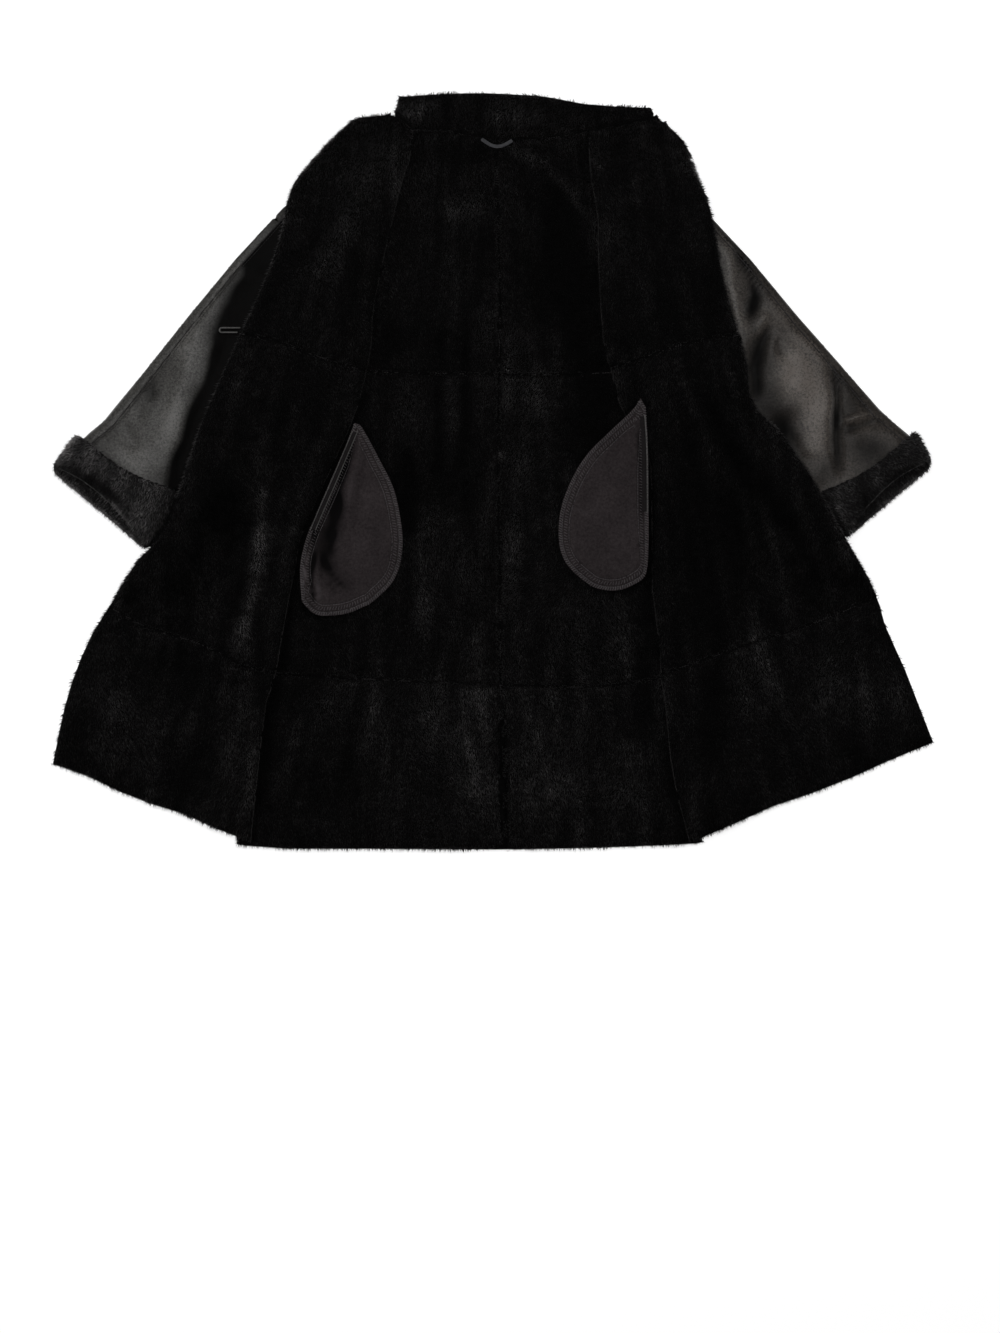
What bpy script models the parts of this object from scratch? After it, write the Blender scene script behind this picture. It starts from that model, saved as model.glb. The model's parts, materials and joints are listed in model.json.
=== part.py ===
# A sheepskin coat laid out on its back, leather outside and fur inside. Both fronts are opened
# over the sleeves with the fur up, the cuffs are turned up, and the pocket bags lie on the back.
# +X runs across the coat, +Y from the hem to the collar, +Z up, and the coat rests on z = 0.
# Tables and sizes are in millimetres; the meshes are made in metres.

import bisect
import math

import bmesh
import bpy
from mathutils import Matrix, Vector

METRE = 0.001          # one millimetre in metres

# Driving sizes
WALL = 8.0             # skin and pile together
SEAM_GAP = 0.5         # between the plan edges of two pieces that are sewn together
LAY_GAP = 0.5          # between a piece and what it lies on
FREE_ROLL = 5.0        # how far the fur rounds down at a free edge
SEAM_ROLL = 1.6        # how far it dips along a seam
EDGE_SHARE = 0.035     # share of a panel's width taken by the rounded edge
SLEEVE_RADIUS = 9.0    # half the height of a sleeve laid flat
OVERARM_INSET = 17.0   # the overarm seam lies this far inside the sleeve's edge
CUFF_HEIGHT = 40.0     # a turned-up cuff round its sleeve
CUFF_MOUTH = 6.6       # height of the opening inside a cuff
CUFF_LIP = 10.5        # depth of the lip that folds in over the sleeve's end
COTTON = 1.2           # one layer of a pocket bag
FACING_WIDTH = 9.0     # tape along a pocket's mouth
FACING_INSET = 1.0     # and how far it lies inside the bag's edge
BELOW_HEM = -540.0     # past the back's hem, where its outline as a support ends

# Edges of the pieces as they lie: level, x, y. A level name marks where a seam meets the edge.
LEFT_FRONT_EDGE = [
    ("top", -190, 498), ("", -207, 487), ("", -242, 452), ("", -284, 396), ("", -298, 330),
    ("", -323, 261), ("waist", -354, 193), ("", -399, 92), ("", -427, 12), ("", -450, -62),
    ("", -465, -92), ("", -496, -122), ("band", -539, -187), ("", -571, -241), ("", -599, -318),
    ("hem", -619, -411)]
LEFT_FRONT_FOLD = [
    ("top", -112, 477), ("", -119, 423), ("", -130, 395), ("", -165, 241), ("", -169, 185),
    ("waist", -177, 141), ("", -196, 73), ("", -266, -83), ("", -276, -132), ("", -286, -180),
    ("", -294, -225), ("band", -304, -281), ("", -316, -318), ("", -322, -360),
    ("", -328, -412), ("hem", -339, -519)]
RIGHT_FRONT_EDGE = [
    ("top", 234, 496), ("", 255, 480), ("", 276, 452), ("", 290, 410), ("", 307, 360),
    ("", 318, 292), ("", 336, 219), ("waist", 346, 190), ("", 357, 150), ("", 361, 94),
    ("", 377, 83), ("", 396, 64), ("", 431, 16), ("", 462, -36), ("", 487, -83),
    ("", 511, -122), ("band", 539, -172), ("", 553, -220), ("", 573, -261), ("", 591, -307),
    ("hem", 619, -379)]
RIGHT_FRONT_FOLD = [
    ("top", 134, 477), ("", 136, 416), ("", 146, 360), ("", 147, 298), ("", 154, 186),
    ("waist", 164, 146), ("", 172, 114), ("", 182, 79), ("", 197, 60), ("", 215, 38),
    ("", 221, -1), ("", 222, -57), ("", 223, -172), ("", 230, -215), ("band", 235, -285),
    ("", 241, -326), ("", 249, -405), ("", 260, -461), ("hem", 275, -518)]
CENTRE_BACK = [
    ("neck", 6, 468), ("", 6, 404), ("", 10, 241), ("waist", 8, 137), ("", 7, -10),
    ("", 11, -205), ("band", 10, -298), ("", 18, -360), ("hem", 21, -530)]
# The back runs on below the fronts to these edges.
LEFT_BACK_EDGE = [
    ("neck", -111, 479), ("", -140, 445), ("waist", -211, 141), ("", -222, 95), ("", -250, 20),
    ("", -292, -83), ("", -312, -180), ("band", -329, -281), ("", -352, -412),
    ("hem", -360, -521)]
RIGHT_BACK_EDGE = [
    ("neck", 133, 479), ("", 158, 440), ("waist", 197, 141), ("", 205, 85), ("", 236, 20),
    ("", 247, -57), ("", 249, -172), ("band", 260, -285), ("", 275, -405), ("hem", 296, -519)]

# Seams and hems across the coat: x, y of the points between two of the edges above.
LEFT_TOP = [(-136, 503)]
RIGHT_TOP = [(225, 497)]
LEFT_WAIST = [(-309, 184), (-280, 173), (-231, 157)]
RIGHT_WAIST = [(220, 163), (262, 177), (315, 189)]
LEFT_BAND = [(-501, -209), (-461, -225), (-426, -234), (-374, -256), (-347, -272)]
RIGHT_BAND = [(252, -275), (287, -265), (374, -235), (455, -209), (510, -186)]
LEFT_HEM = [(-596, -416), (-547, -436), (-507, -456), (-449, -475), (-414, -486), (-385, -502)]
RIGHT_HEM = [(309, -510), (333, -496), (385, -472), (452, -449), (510, -426), (567, -400)]
NECK_LEFT = [(-67, 479), (-20, 470)]
NECK_RIGHT = [(40, 466), (75, 467), (106, 472)]
BACK_WAIST_LEFT = [(-100, 139)]
BACK_WAIST_RIGHT = [(100, 137)]
BACK_BAND_LEFT = [(-160, -290)]
BACK_BAND_RIGHT = [(140, -300)]
BACK_HEM_LEFT = [(-316, -528), (-150, -529)]
BACK_HEM_RIGHT = [(160, -527), (276, -522)]
COLLAR_TOP = [(-133, 524), (-128, 528), (-32, 533), (66, 529), (136, 517), (223, 512)]

# Largest folds: x and y of both ends, how far the fur rises (or sinks, below zero), half width.
BACK_FOLDS = [
    (7, 457, 74, 427, 5.0, 20.0), (74, 427, 112, 382, 6.0, 18.0),
    (60, 385, 120, 315, -3.0, 24.0), (-20, 290, -44, 175, 4.0, 22.0),
    (-42, 120, -22, -20, 4.0, 24.0), (-100, 250, -130, 170, 3.0, 22.0),
    (2, -330, 14, -520, -3.0, 20.0), (-60, -340, -75, -520, 3.0, 28.0),
    (110, 80, 60, -180, 2.5, 34.0)]
FRONT_FOLDS = [
    (-228, 381, -284, 283, -3.5, 24.0), (-205, 330, -235, 215, 3.5, 26.0),
    (-319, -122, -363, -255, 5.0, 24.0), (-470, -250, -500, -420, 4.0, 30.0),
    (272, 51, 297, -1, -3.5, 22.0), (308, 25, 346, -54, 5.0, 24.0),
    (328, -16, 413, -83, -3.5, 24.0), (420, -250, 450, -420, 4.0, 30.0),
    (361, 96, 364, 50, -3.5, 18.0)]
COLLAR_FOLDS = [(-132, 497, -69, 519, 5.0, 14.0), (-40, 500, 60, 497, 2.5, 16.0)]

# Sleeves from the shoulder to the cuff: overarm edge x, y, underarm edge x, y, then how far the
# sleeve is lifted, half its height, and how far the upper half is crowned.
LEFT_SLEEVE = [
    (-207, 426, -232, 165, 0.0, 9.0, 1.0), (-293, 372, -268, 128, 0.0, 9.0, 2.0),
    (-360, 300, -304, 90, 0.0, 9.0, 3.5), (-427, 219, -343, 50, 0.0, 9.0, 3.5),
    (-494, 135, -388, 7, 0.0, 9.5, 3.0), (-543, 74, -421, -19, 3.5, 10.0, 2.0)]
RIGHT_SLEEVE = [
    (222, 418, 226, 160, 0.0, 9.0, 1.0), (290, 374, 262, 124, 0.0, 9.0, 2.0),
    (362, 297, 303, 84, 0.0, 9.0, 3.5), (424, 222, 343, 44, 0.0, 9.0, 3.5),
    (486, 152, 388, 4, 0.0, 9.5, 3.0), (541, 88, 425, -27, 3.5, 10.0, 2.0)]
# Where each half of a sleeve meets the body: overarm x, y and underarm x, y.
SLEEVE_ROOT = {
    "back_left": (-141.4, 442, -200.3, 190), "front_left": (-130, 440, -180.5, 192),
    "back_right": (159, 437, 191.4, 190), "front_right": (143, 440, 166, 192)}
# Turned-up cuffs: overarm x, y and underarm x, y of the upper edge and of the folded end.
LEFT_CUFF = {"edge": (-584, 50, -432, -36), "fold": (-618, 3, -481, -112)}
RIGHT_CUFF = {"edge": (593, 54, 440, -42), "fold": (615, 10, 490, -96)}
CUFF_BOW = 9.0         # the cuff's upper edge sags this far along the sleeve, at its middle

# Pocket bags, by their four sides: mouth, bottom, outer curve and tip, each from x, y to x, y.
LEFT_BAG = {
    "mouth": [(-193, 69), (-222, 0), (-262, -95), (-270, -143), (-267, -180)],
    "bottom": [(-267, -180), (-258, -194), (-242, -200), (-209, -199), (-175, -186)],
    "outer": [(-186, 66), (-171, 44), (-153, 6), (-137, -27), (-129, -65), (-126, -94),
              (-130, -132), (-148, -165), (-175, -186)],
    "tip": [(-193, 69), (-186, 66)]}
RIGHT_BAG = {
    "mouth": [(213, 91), (216.5, 40), (217.5, -30), (217.5, -90), (217, -124), (213, -146)],
    "bottom": [(213, -146), (196, -158), (171, -166), (144, -162)],
    "outer": [(206, 104), (188, 74), (160, 55), (129, 22), (104, -23), (92, -68),
              (95, -112), (115, -145), (144, -162)],
    "tip": [(213, 91), (206, 104)]}

HANGER_ENDS = (-16, 466, 27, 464)      # x, y of both ends of the hanger loop
HANGER_SAG = 10.0
LOOP_ROOTS = (-352.5, -356.5)          # x of the two ends of the button loop's cord
LOOP_TIP = (-382.0, 198.0, 3.2, 22.9)  # tip x, middle y, half width and height of its centre
LOOP_CORD = 2.6                        # diameter of the cord


def catmull_rom(before, start, end, after, share):
    a = 2 * start
    b = end - before
    c = 2 * before - 5 * start + 4 * end - after
    d = 3 * start - before - 3 * end + after
    return 0.5 * (a + b * share + c * share ** 2 + d * share ** 3)


class Line:
    """A plan curve that is read by the share of its length, from 0 to 1."""

    def __init__(self, points):
        self.points = points
        self.lengths = [0.0]
        for here, there in zip(points, points[1:]):
            self.lengths.append(self.lengths[-1] + (there - here).length)

    def at(self, share):
        wanted = share * self.lengths[-1]
        place = bisect.bisect_left(self.lengths, wanted)
        place = min(max(place, 1), len(self.points) - 1)
        start = self.lengths[place - 1]
        part = (wanted - start) / (self.lengths[place] - start)
        return self.points[place - 1].lerp(self.points[place], part)


def straight_line(points):
    return Line([Vector(point) for point in points])


def reverse(line):
    return Line(line.points[::-1])


def smooth_line(points, steps=12):
    """A smooth curve through the given points."""
    corners = [Vector(point) for point in points]
    if len(corners) == 2:
        return Line(corners)
    first = 2 * corners[0] - corners[1]
    last = 2 * corners[-1] - corners[-2]
    padded = [first] + corners + [last]
    dense = []
    for i in range(1, len(padded) - 2):
        for k in range(steps):
            dense.append(catmull_rom(*padded[i - 1:i + 3], k / steps))
    dense.append(corners[-1])
    return Line(dense)


def stretch(table, start, end, steps=12):
    """The part of an edge between two of its named levels, as a curve."""
    names = [row[0] for row in table]
    whole = smooth_line([row[1:] for row in table], steps)
    first = names.index(start) * steps
    last = names.index(end) * steps
    return Line(whole.points[first:last + 1])


def level(table, name):
    return next(row[1:] for row in table if row[0] == name)


def distance_to_segment(place, start, end):
    along = end - start
    share = (place - start).dot(along) / along.length_squared
    share = min(max(share, 0.0), 1.0)
    return (place - start - along * share).length


def depth_inside(place, outline):
    """How far a place lies inside a closed outline; below zero outside it."""
    nearest = min(distance_to_segment(place, outline[i - 1], outline[i])
                  for i in range(len(outline)))
    inside = False
    for i in range(len(outline)):
        a = outline[i - 1]
        b = outline[i]
        if (a.y > place.y) != (b.y > place.y):
            if place.x < a.x + (place.y - a.y) * (b.x - a.x) / (b.y - a.y):
                inside = not inside
    return nearest if inside else -nearest


def drape(place, outline, full, reach):
    """1 inside an outline and up to full outside it, then falling gently to 0 at reach."""
    share = (depth_inside(place, outline) + reach) / (reach - full)
    share = min(max(share, 0.0), 1.0)
    return share * share * (3 - 2 * share)


def resting_height(place, layers):
    """The underside of a skin draped over layers: each an outline, its top, full and reach."""
    heights = [(top + LAY_GAP) * drape(place, outline, full, reach)
               for outline, top, full, reach in layers]
    return max(heights)


def fold_rise(place, folds):
    rise = 0.0
    for x0, y0, x1, y1, most, half_width in folds:
        away = distance_to_segment(place, Vector((x0, y0)), Vector((x1, y1)))
        rise += most * math.exp(-(away / half_width) ** 2)
    return rise


def material(name, colour, roughness):
    finish = bpy.data.materials.new(name)
    finish.use_nodes = True
    shader = finish.node_tree.nodes["Principled BSDF"]
    shader.inputs["Base Color"].default_value = (*colour, 1.0)
    shader.inputs["Roughness"].default_value = roughness
    finish.diffuse_color = (*colour, 1.0)
    return finish


def place_object(name, bm, finish):
    bmesh.ops.recalc_face_normals(bm, faces=bm.faces)
    mesh = bpy.data.meshes.new(name)
    bm.to_mesh(mesh)
    bm.free()
    mesh.materials.append(finish)
    mesh.shade_smooth()
    mesh.set_sharp_from_angle(angle=math.radians(40))
    thing = bpy.data.objects.new(name, mesh)
    bpy.context.collection.objects.link(thing)
    return thing


def spaced(count):
    """Shares along a side, with the first and last close to its ends for the rounded edge."""
    inner = [EDGE_SHARE + (1 - 2 * EDGE_SHARE) * k / (count - 2) for k in range(count - 1)]
    return [0.0] + inner + [1.0]


def blend_sides(sides, u, v):
    """A place inside four curves that meet at their corners."""
    across = sides["bottom"].at(u).lerp(sides["top"].at(u), v)
    along = sides["left"].at(v).lerp(sides["right"].at(v), u)
    low = sides["bottom"].at(0).lerp(sides["bottom"].at(1), u)
    high = sides["top"].at(0).lerp(sides["top"].at(1), u)
    return across + along - low.lerp(high, v)


def plan_grid(sides, columns, rows):
    """Places in rows across the piece, drawn in along its edges by half the seam gap."""
    grid = [[blend_sides(sides, u, v) for u in columns] for v in rows]
    for row in grid:
        row[0] = row[0] + (row[1] - row[0]).normalized() * SEAM_GAP / 2
        row[-1] = row[-1] + (row[-2] - row[-1]).normalized() * SEAM_GAP / 2
    for edge, inner in ((0, 1), (-1, -2)):
        for i in range(len(columns)):
            inward = (grid[inner][i] - grid[edge][i]).normalized()
            grid[edge][i] = grid[edge][i] + inward * SEAM_GAP / 2
    return grid


def panel(name, finish, sides, columns, rows, free, base, relief, wall=WALL):
    """A cut piece between four curves: base gives its underside and relief what its top adds.

    columns and rows are shares along the sides, and free names the sides that are not sewn.
    """
    grid = plan_grid(sides, columns, rows)
    last_column = len(columns) - 1
    last_row = len(rows) - 1
    bm = bmesh.new()
    bmesh.ops.create_grid(bm, x_segments=last_column, y_segments=last_row, size=0.5)
    bottoms = bm.verts[:]
    made = bmesh.ops.extrude_face_region(bm, geom=bm.faces[:], use_keep_orig=True)
    tops = [item for item in made["geom"] if isinstance(item, bmesh.types.BMVert)]
    for vert in bottoms + tops:
        i = round((vert.co.x + 0.5) * last_column)
        j = round((vert.co.y + 0.5) * last_row)
        place = grid[j][i]
        height = base(place)
        if vert in tops:
            height += wall + relief(place)
            touched = {"left": i == 0, "right": i == last_column,
                       "bottom": j == 0, "top": j == last_row}
            rolls = [FREE_ROLL if side in free else SEAM_ROLL
                     for side in touched if touched[side]]
            height -= max(rolls, default=0.0) * wall / WALL
        vert.co = Vector((place.x, place.y, height)) * METRE
    bmesh.ops.triangulate(bm, faces=bm.faces[:])
    return place_object(name, bm, finish)


def loft(name, finish, sections, closed=False):
    """A solid through sections with the same number of points; closed joins the last to the first."""
    bm = bmesh.new()
    rings = [[bm.verts.new(Vector(point) * METRE) for point in section] for section in sections]
    pairs = list(zip(rings, rings[1:]))
    if closed:
        pairs.append((rings[-1], rings[0]))
    for here, there in pairs:
        for k in range(len(here)):
            bm.faces.new((here[k - 1], here[k], there[k]))
            bm.faces.new((here[k - 1], there[k], there[k - 1]))
    if not closed:
        bm.faces.new(rings[0])
        bm.faces.new(rings[-1])
    bm.normal_update()
    bmesh.ops.triangulate(bm, faces=bm.faces[:], ngon_method="EAR_CLIP")
    return place_object(name, bm, finish)


def cuff_length(cuff):
    """Mean length of a cuff along its sleeve."""
    moves = [b - a for a, b in zip(cuff["edge"], cuff["fold"])]
    return (math.hypot(*moves[:2]) + math.hypot(*moves[2:])) / 2


def cuff_ends(cuff, distance, inset):
    """Both ends of a line across the cuff, at a distance from its edge, drawn in by inset."""
    share = distance / cuff_length(cuff)
    x0, y0, x1, y1 = [a + (b - a) * share for a, b in zip(cuff["edge"], cuff["fold"])]
    over = Vector((x0, y0))
    under = Vector((x1, y1))
    across = (under - over).normalized()
    return over + across * inset, under - across * inset


def sleeve_rows(table, root, cuff):
    """Sleeve stations from the body to just inside the cuff's folded end."""
    rows = [(Vector(root[:2]), Vector(root[2:]), 0.0, SLEEVE_RADIUS, 0.0)]
    rows += [(Vector(row[:2]), Vector(row[2:4]), *row[4:]) for row in table]
    for distance in (0.0, cuff_length(cuff) - CUFF_LIP - LAY_GAP):
        over, under = cuff_ends(cuff, distance, WALL + 1.5)
        rows.append((over, under, WALL + LAY_GAP, WALL + CUFF_MOUTH / 2, 0.0))
    return rows


def crowned(s, width, radius, crown):
    if s <= radius or s >= width - radius:
        return 0.0
    return crown * math.sin(math.pi * (s - radius) / (width - 2 * radius)) ** 0.7


def placed(row, profile):
    """Turn (across, height) pairs into points across one sleeve station."""
    over, under, lift, _, _ = row
    across = (under - over).normalized()
    return [(*(over + across * s), z + lift) for s, z in profile]


def sleeve_back_section(row):
    """The lower half, which turns up round the overarm edge as far as the overarm seam."""
    over, under, _, r, crown = row
    width = (under - over).length
    inner = r - WALL
    seam = OVERARM_INSET
    raise_seam = crowned(seam, width, r, crown)
    profile = [(seam, 2 * r + raise_seam - SEAM_ROLL / 2), (seam - 4, 2 * r + raise_seam)]
    for degrees in (90, 45, 0, -45, -90):
        turn = math.radians(degrees)
        profile.append((r - r * math.cos(turn), r + r * math.sin(turn)))
    profile += [(r + (width - 2 * r) * k / 5, 0.0) for k in range(1, 5)]
    profile += [(width - r, 0.0), (width - 0.29 * r, 0.29 * r), (width, r - 0.25)]
    profile += [(width - WALL, r - 0.25), (width - r - 1, WALL)]
    profile += [(r + (width - 2 * r) * k / 5, WALL) for k in range(4, 0, -1)]
    for degrees in (-90, 0, 90):
        turn = math.radians(degrees)
        profile.append((r - inner * math.cos(turn), r + inner * math.sin(turn)))
    profile.append((seam, 2 * r - WALL + raise_seam))
    return placed(row, profile)


def sleeve_front_section(row):
    """The upper half, from the overarm seam to the underarm edge."""
    over, under, _, r, crown = row
    width = (under - over).length
    start = OVERARM_INSET + SEAM_GAP
    stops = [start, start + 5] + [r + (width - 2 * r) * k / 6 for k in range(1, 6)]
    outer = [(s, 2 * r + crowned(s, width, r, crown)) for s in stops]
    outer[0] = (start, outer[0][1] - SEAM_ROLL / 2)
    inner = [(s, z - WALL) for s, z in [(start, outer[1][1])] + outer[1:]]
    profile = outer + [(width - r, 2 * r), (width - 0.29 * r, 1.71 * r), (width, r + 0.25)]
    profile += [(width - WALL, r + 0.25), (width - r - 1, 2 * r - WALL)]
    profile += inner[::-1]
    return placed(row, profile)


def stadium(over, under, low, high):
    """A flattened ring: over the top from the overarm end to the underarm end, and back below."""
    r = (high - low) / 2
    width = (under - over).length
    across = (under - over).normalized()
    profile = []
    for degrees in (-90, -45, 0, 45, 90):
        turn = math.radians(degrees)
        profile.append((r - r * math.cos(turn), low + r + r * math.sin(turn)))
    profile += [(r + (width - 2 * r) * k / 5, high) for k in range(1, 5)]
    for degrees in (90, 45, 0, -45, -90):
        turn = math.radians(degrees)
        profile.append((width - r + r * math.cos(turn), low + r + r * math.sin(turn)))
    profile += [(r + (width - 2 * r) * k / 5, low) for k in range(4, 0, -1)]
    return [Vector((*(over + across * s), z)) for s, z in profile]


def cuff_ring(table, distance, inset, low, high):
    return stadium(*cuff_ends(table, distance, inset), low, high)


def turned_cuff(name, finish, table):
    """A turned-up cuff: a wall round the sleeve's end and a lip that folds in over it."""
    length = cuff_length(table)
    back = length - CUFF_LIP
    top = CUFF_HEIGHT
    mouth_low = (top - CUFF_MOUTH) / 2
    mouth_high = (top + CUFF_MOUTH) / 2
    inside = cuff_ring(table, 0, WALL, WALL, top - WALL)
    edge = cuff_ring(table, -3, WALL / 2, WALL / 2, top - WALL / 2)
    shoulder = cuff_ring(table, 4, 0.5, 0, top - 1)
    behind_lip = cuff_ring(table, back, WALL, WALL, top - WALL)
    top_points = range(5, 9)
    for k in top_points:
        bow = CUFF_BOW * math.sin(math.pi * (k - 4) / 5)
        move = (behind_lip[k] - inside[k]).normalized() * bow
        for ring in (inside, edge, shoulder):
            ring[k] = ring[k] + move
    rings = [inside, edge, shoulder,
             cuff_ring(table, length * 0.45, 0, 0, top),
             cuff_ring(table, length - 9, 0, 0, top),
             cuff_ring(table, length, WALL, WALL, top - WALL),
             cuff_ring(table, length - 5, 2 * WALL, mouth_low, mouth_high),
             cuff_ring(table, back, 2 * WALL, mouth_low, mouth_high),
             behind_lip]
    return loft(name, finish, rings, closed=True)


def strip(name, finish, middles, width, height):
    """A narrow tape that follows the given points."""
    sections = []
    for i, point in enumerate(middles):
        before = Vector(middles[max(i - 1, 0)])
        after = Vector(middles[min(i + 1, len(middles) - 1)])
        along = (after - before).to_2d().normalized()
        side = Vector((-along.y, along.x, 0)) * width / 2
        rise = Vector((0, 0, height))
        low = Vector(point)
        sections.append([low - side, low + side, low + side + rise, low - side + rise])
    return loft(name, finish, sections)


for old in list(bpy.data.objects):
    bpy.data.objects.remove(old, do_unlink=True)

fur = material("black_fur", (0.010, 0.009, 0.009), 0.9)
leather = material("black_nappa", (0.016, 0.014, 0.014), 0.4)
cotton = material("charcoal_cotton", (0.022, 0.018, 0.019), 0.8)
tape = material("charcoal_tape", (0.045, 0.045, 0.048), 0.7)

back_columns = spaced(8)
front_columns = spaced(8)


def back_half(side, edge_table, waist, band, hem, neck):
    """The three tiers of one half of the back, flat on the surface."""
    edge_is_left = side == "left"
    tiers = (("upper", "waist", "neck", 11), ("middle", "band", "waist", 12),
             ("hem", "hem", "band", 7))
    seams = {"neck": neck, "waist": waist, "band": band, "hem": hem}
    for tier, low, high, rows in tiers:
        edge = stretch(edge_table, high, low, 1)
        centre = stretch(CENTRE_BACK, high, low)
        sides = {"left": reverse(edge if edge_is_left else centre),
                 "right": reverse(centre if edge_is_left else edge)}
        for name, where in (("bottom", low), ("top", high)):
            ends = [level(edge_table, where), level(CENTRE_BACK, where)]
            if not edge_is_left:
                ends.reverse()
            sides[name] = smooth_line([ends[0], *seams[where], ends[1]])
        free = ("bottom",) if tier == "hem" else ()
        panel(f"back_{tier}_{side}", fur, sides, back_columns, spaced(rows), free,
              base=lambda place: 0.0, relief=lambda place: fold_rise(place, BACK_FOLDS))


def front(side, edge_table, fold_table, top, waist, band, hem, layers):
    """The three tiers of one front, opened out over the back's side and the sleeve."""
    edge_is_left = side == "left"
    tiers = (("upper", "waist", "top", 13), ("middle", "band", "waist", 14),
             ("hem", "hem", "band", 8))
    seams = {"top": top, "waist": waist, "band": band, "hem": hem}

    def base(place):
        return resting_height(place, layers) + max(fold_rise(place, FRONT_FOLDS), 0.0)

    def relief(place):
        return min(fold_rise(place, FRONT_FOLDS), 0.0)

    for tier, low, high, rows in tiers:
        edge = stretch(edge_table, high, low)
        fold = stretch(fold_table, high, low)
        sides = {"left": reverse(edge if edge_is_left else fold),
                 "right": reverse(fold if edge_is_left else edge)}
        for name, where in (("bottom", low), ("top", high)):
            ends = [level(edge_table, where), level(fold_table, where)]
            if not edge_is_left:
                ends.reverse()
            points = [ends[0], *seams[where], ends[1]]
            sides[name] = straight_line(points) if where == "top" else smooth_line(points)
        free = {"upper": ("left", "right"), "middle": ("left", "right"),
                "hem": ("left", "right", "bottom")}[tier]
        panel(f"front_{tier}_{side}", fur, sides, front_columns, spaced(rows), free,
              base, relief)


def sleeve(side, table, cuff_table):
    """Both halves of one sleeve, and its cuff."""
    back_rows = sleeve_rows(table, SLEEVE_ROOT[f"back_{side}"], cuff_table)
    front_rows = sleeve_rows(table, SLEEVE_ROOT[f"front_{side}"], cuff_table)
    loft(f"sleeve_back_{side}", leather, [sleeve_back_section(row) for row in back_rows])
    loft(f"sleeve_front_{side}", leather, [sleeve_front_section(row) for row in front_rows])
    turned_cuff(f"cuff_{side}", fur, cuff_table)
    return front_rows


def outline_of(rows):
    return [row[0] for row in rows] + [row[1] for row in reversed(rows)]


def between(edge_table, fold_table):
    """The closed outline of a front, from its two edges."""
    down = [Vector(row[1:]) for row in edge_table]
    up = [Vector(row[1:]) for row in reversed(fold_table)]
    return down + up


def layers_below_front(edge_table, rows, cuff_table):
    """What one front lies on, as outlines with their tops and the reach of the drape beside them."""
    length = cuff_length(cuff_table)
    hem_x = level(edge_table, "hem")[0]
    back = [Vector(row[1:]) for row in edge_table]
    back += [Vector((hem_x, BELOW_HEM)), Vector((0, BELOW_HEM)), Vector((0, 470))]
    cuff_rows = [cuff_ends(cuff_table, -3, 0), cuff_ends(cuff_table, length, 0)]
    sleeve_top = 2 * SLEEVE_RADIUS + 3.5
    wrist_top = 2 * (WALL + CUFF_MOUTH / 2) + WALL + LAY_GAP
    return [(back, WALL, 45.0, 95.0), (outline_of(rows), sleeve_top, 12.0, 60.0),
            (outline_of(rows[-4:]), wrist_top, 20.0, 85.0),
            (outline_of(cuff_rows), CUFF_HEIGHT, 18.0, 90.0)]


def collar():
    """One strip, sewn to the back neck and to the straight top of each front."""
    left_end = Vector(LEFT_TOP[0])
    right_end = Vector(RIGHT_TOP[0])
    neck_left = smooth_line([level(LEFT_BACK_EDGE, "neck"), *NECK_LEFT, level(CENTRE_BACK, "neck")])
    neck_right = smooth_line(
        [level(CENTRE_BACK, "neck"), *NECK_RIGHT, level(RIGHT_BACK_EDGE, "neck")])
    points = [left_end, left_end.lerp(neck_left.at(0), 0.2)]
    points += [neck_left.at(share) for share in back_columns]
    points += [neck_right.at(share) for share in back_columns[1:]]
    points += [neck_right.at(1).lerp(right_end, share) for share in (0.45, 0.93, 1.0)]
    bottom = Line(points)
    shares = [length / bottom.lengths[-1] for length in bottom.lengths]
    top = smooth_line(COLLAR_TOP)
    sides = {"bottom": bottom, "top": top, "left": Line([points[0], top.at(0)]),
             "right": Line([points[-1], top.at(1)])}
    panel("collar", fur, sides, shares, spaced(4), ("left", "right", "top"),
          base=lambda place: 0.0, relief=lambda place: fold_rise(place, COLLAR_FOLDS))


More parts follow.
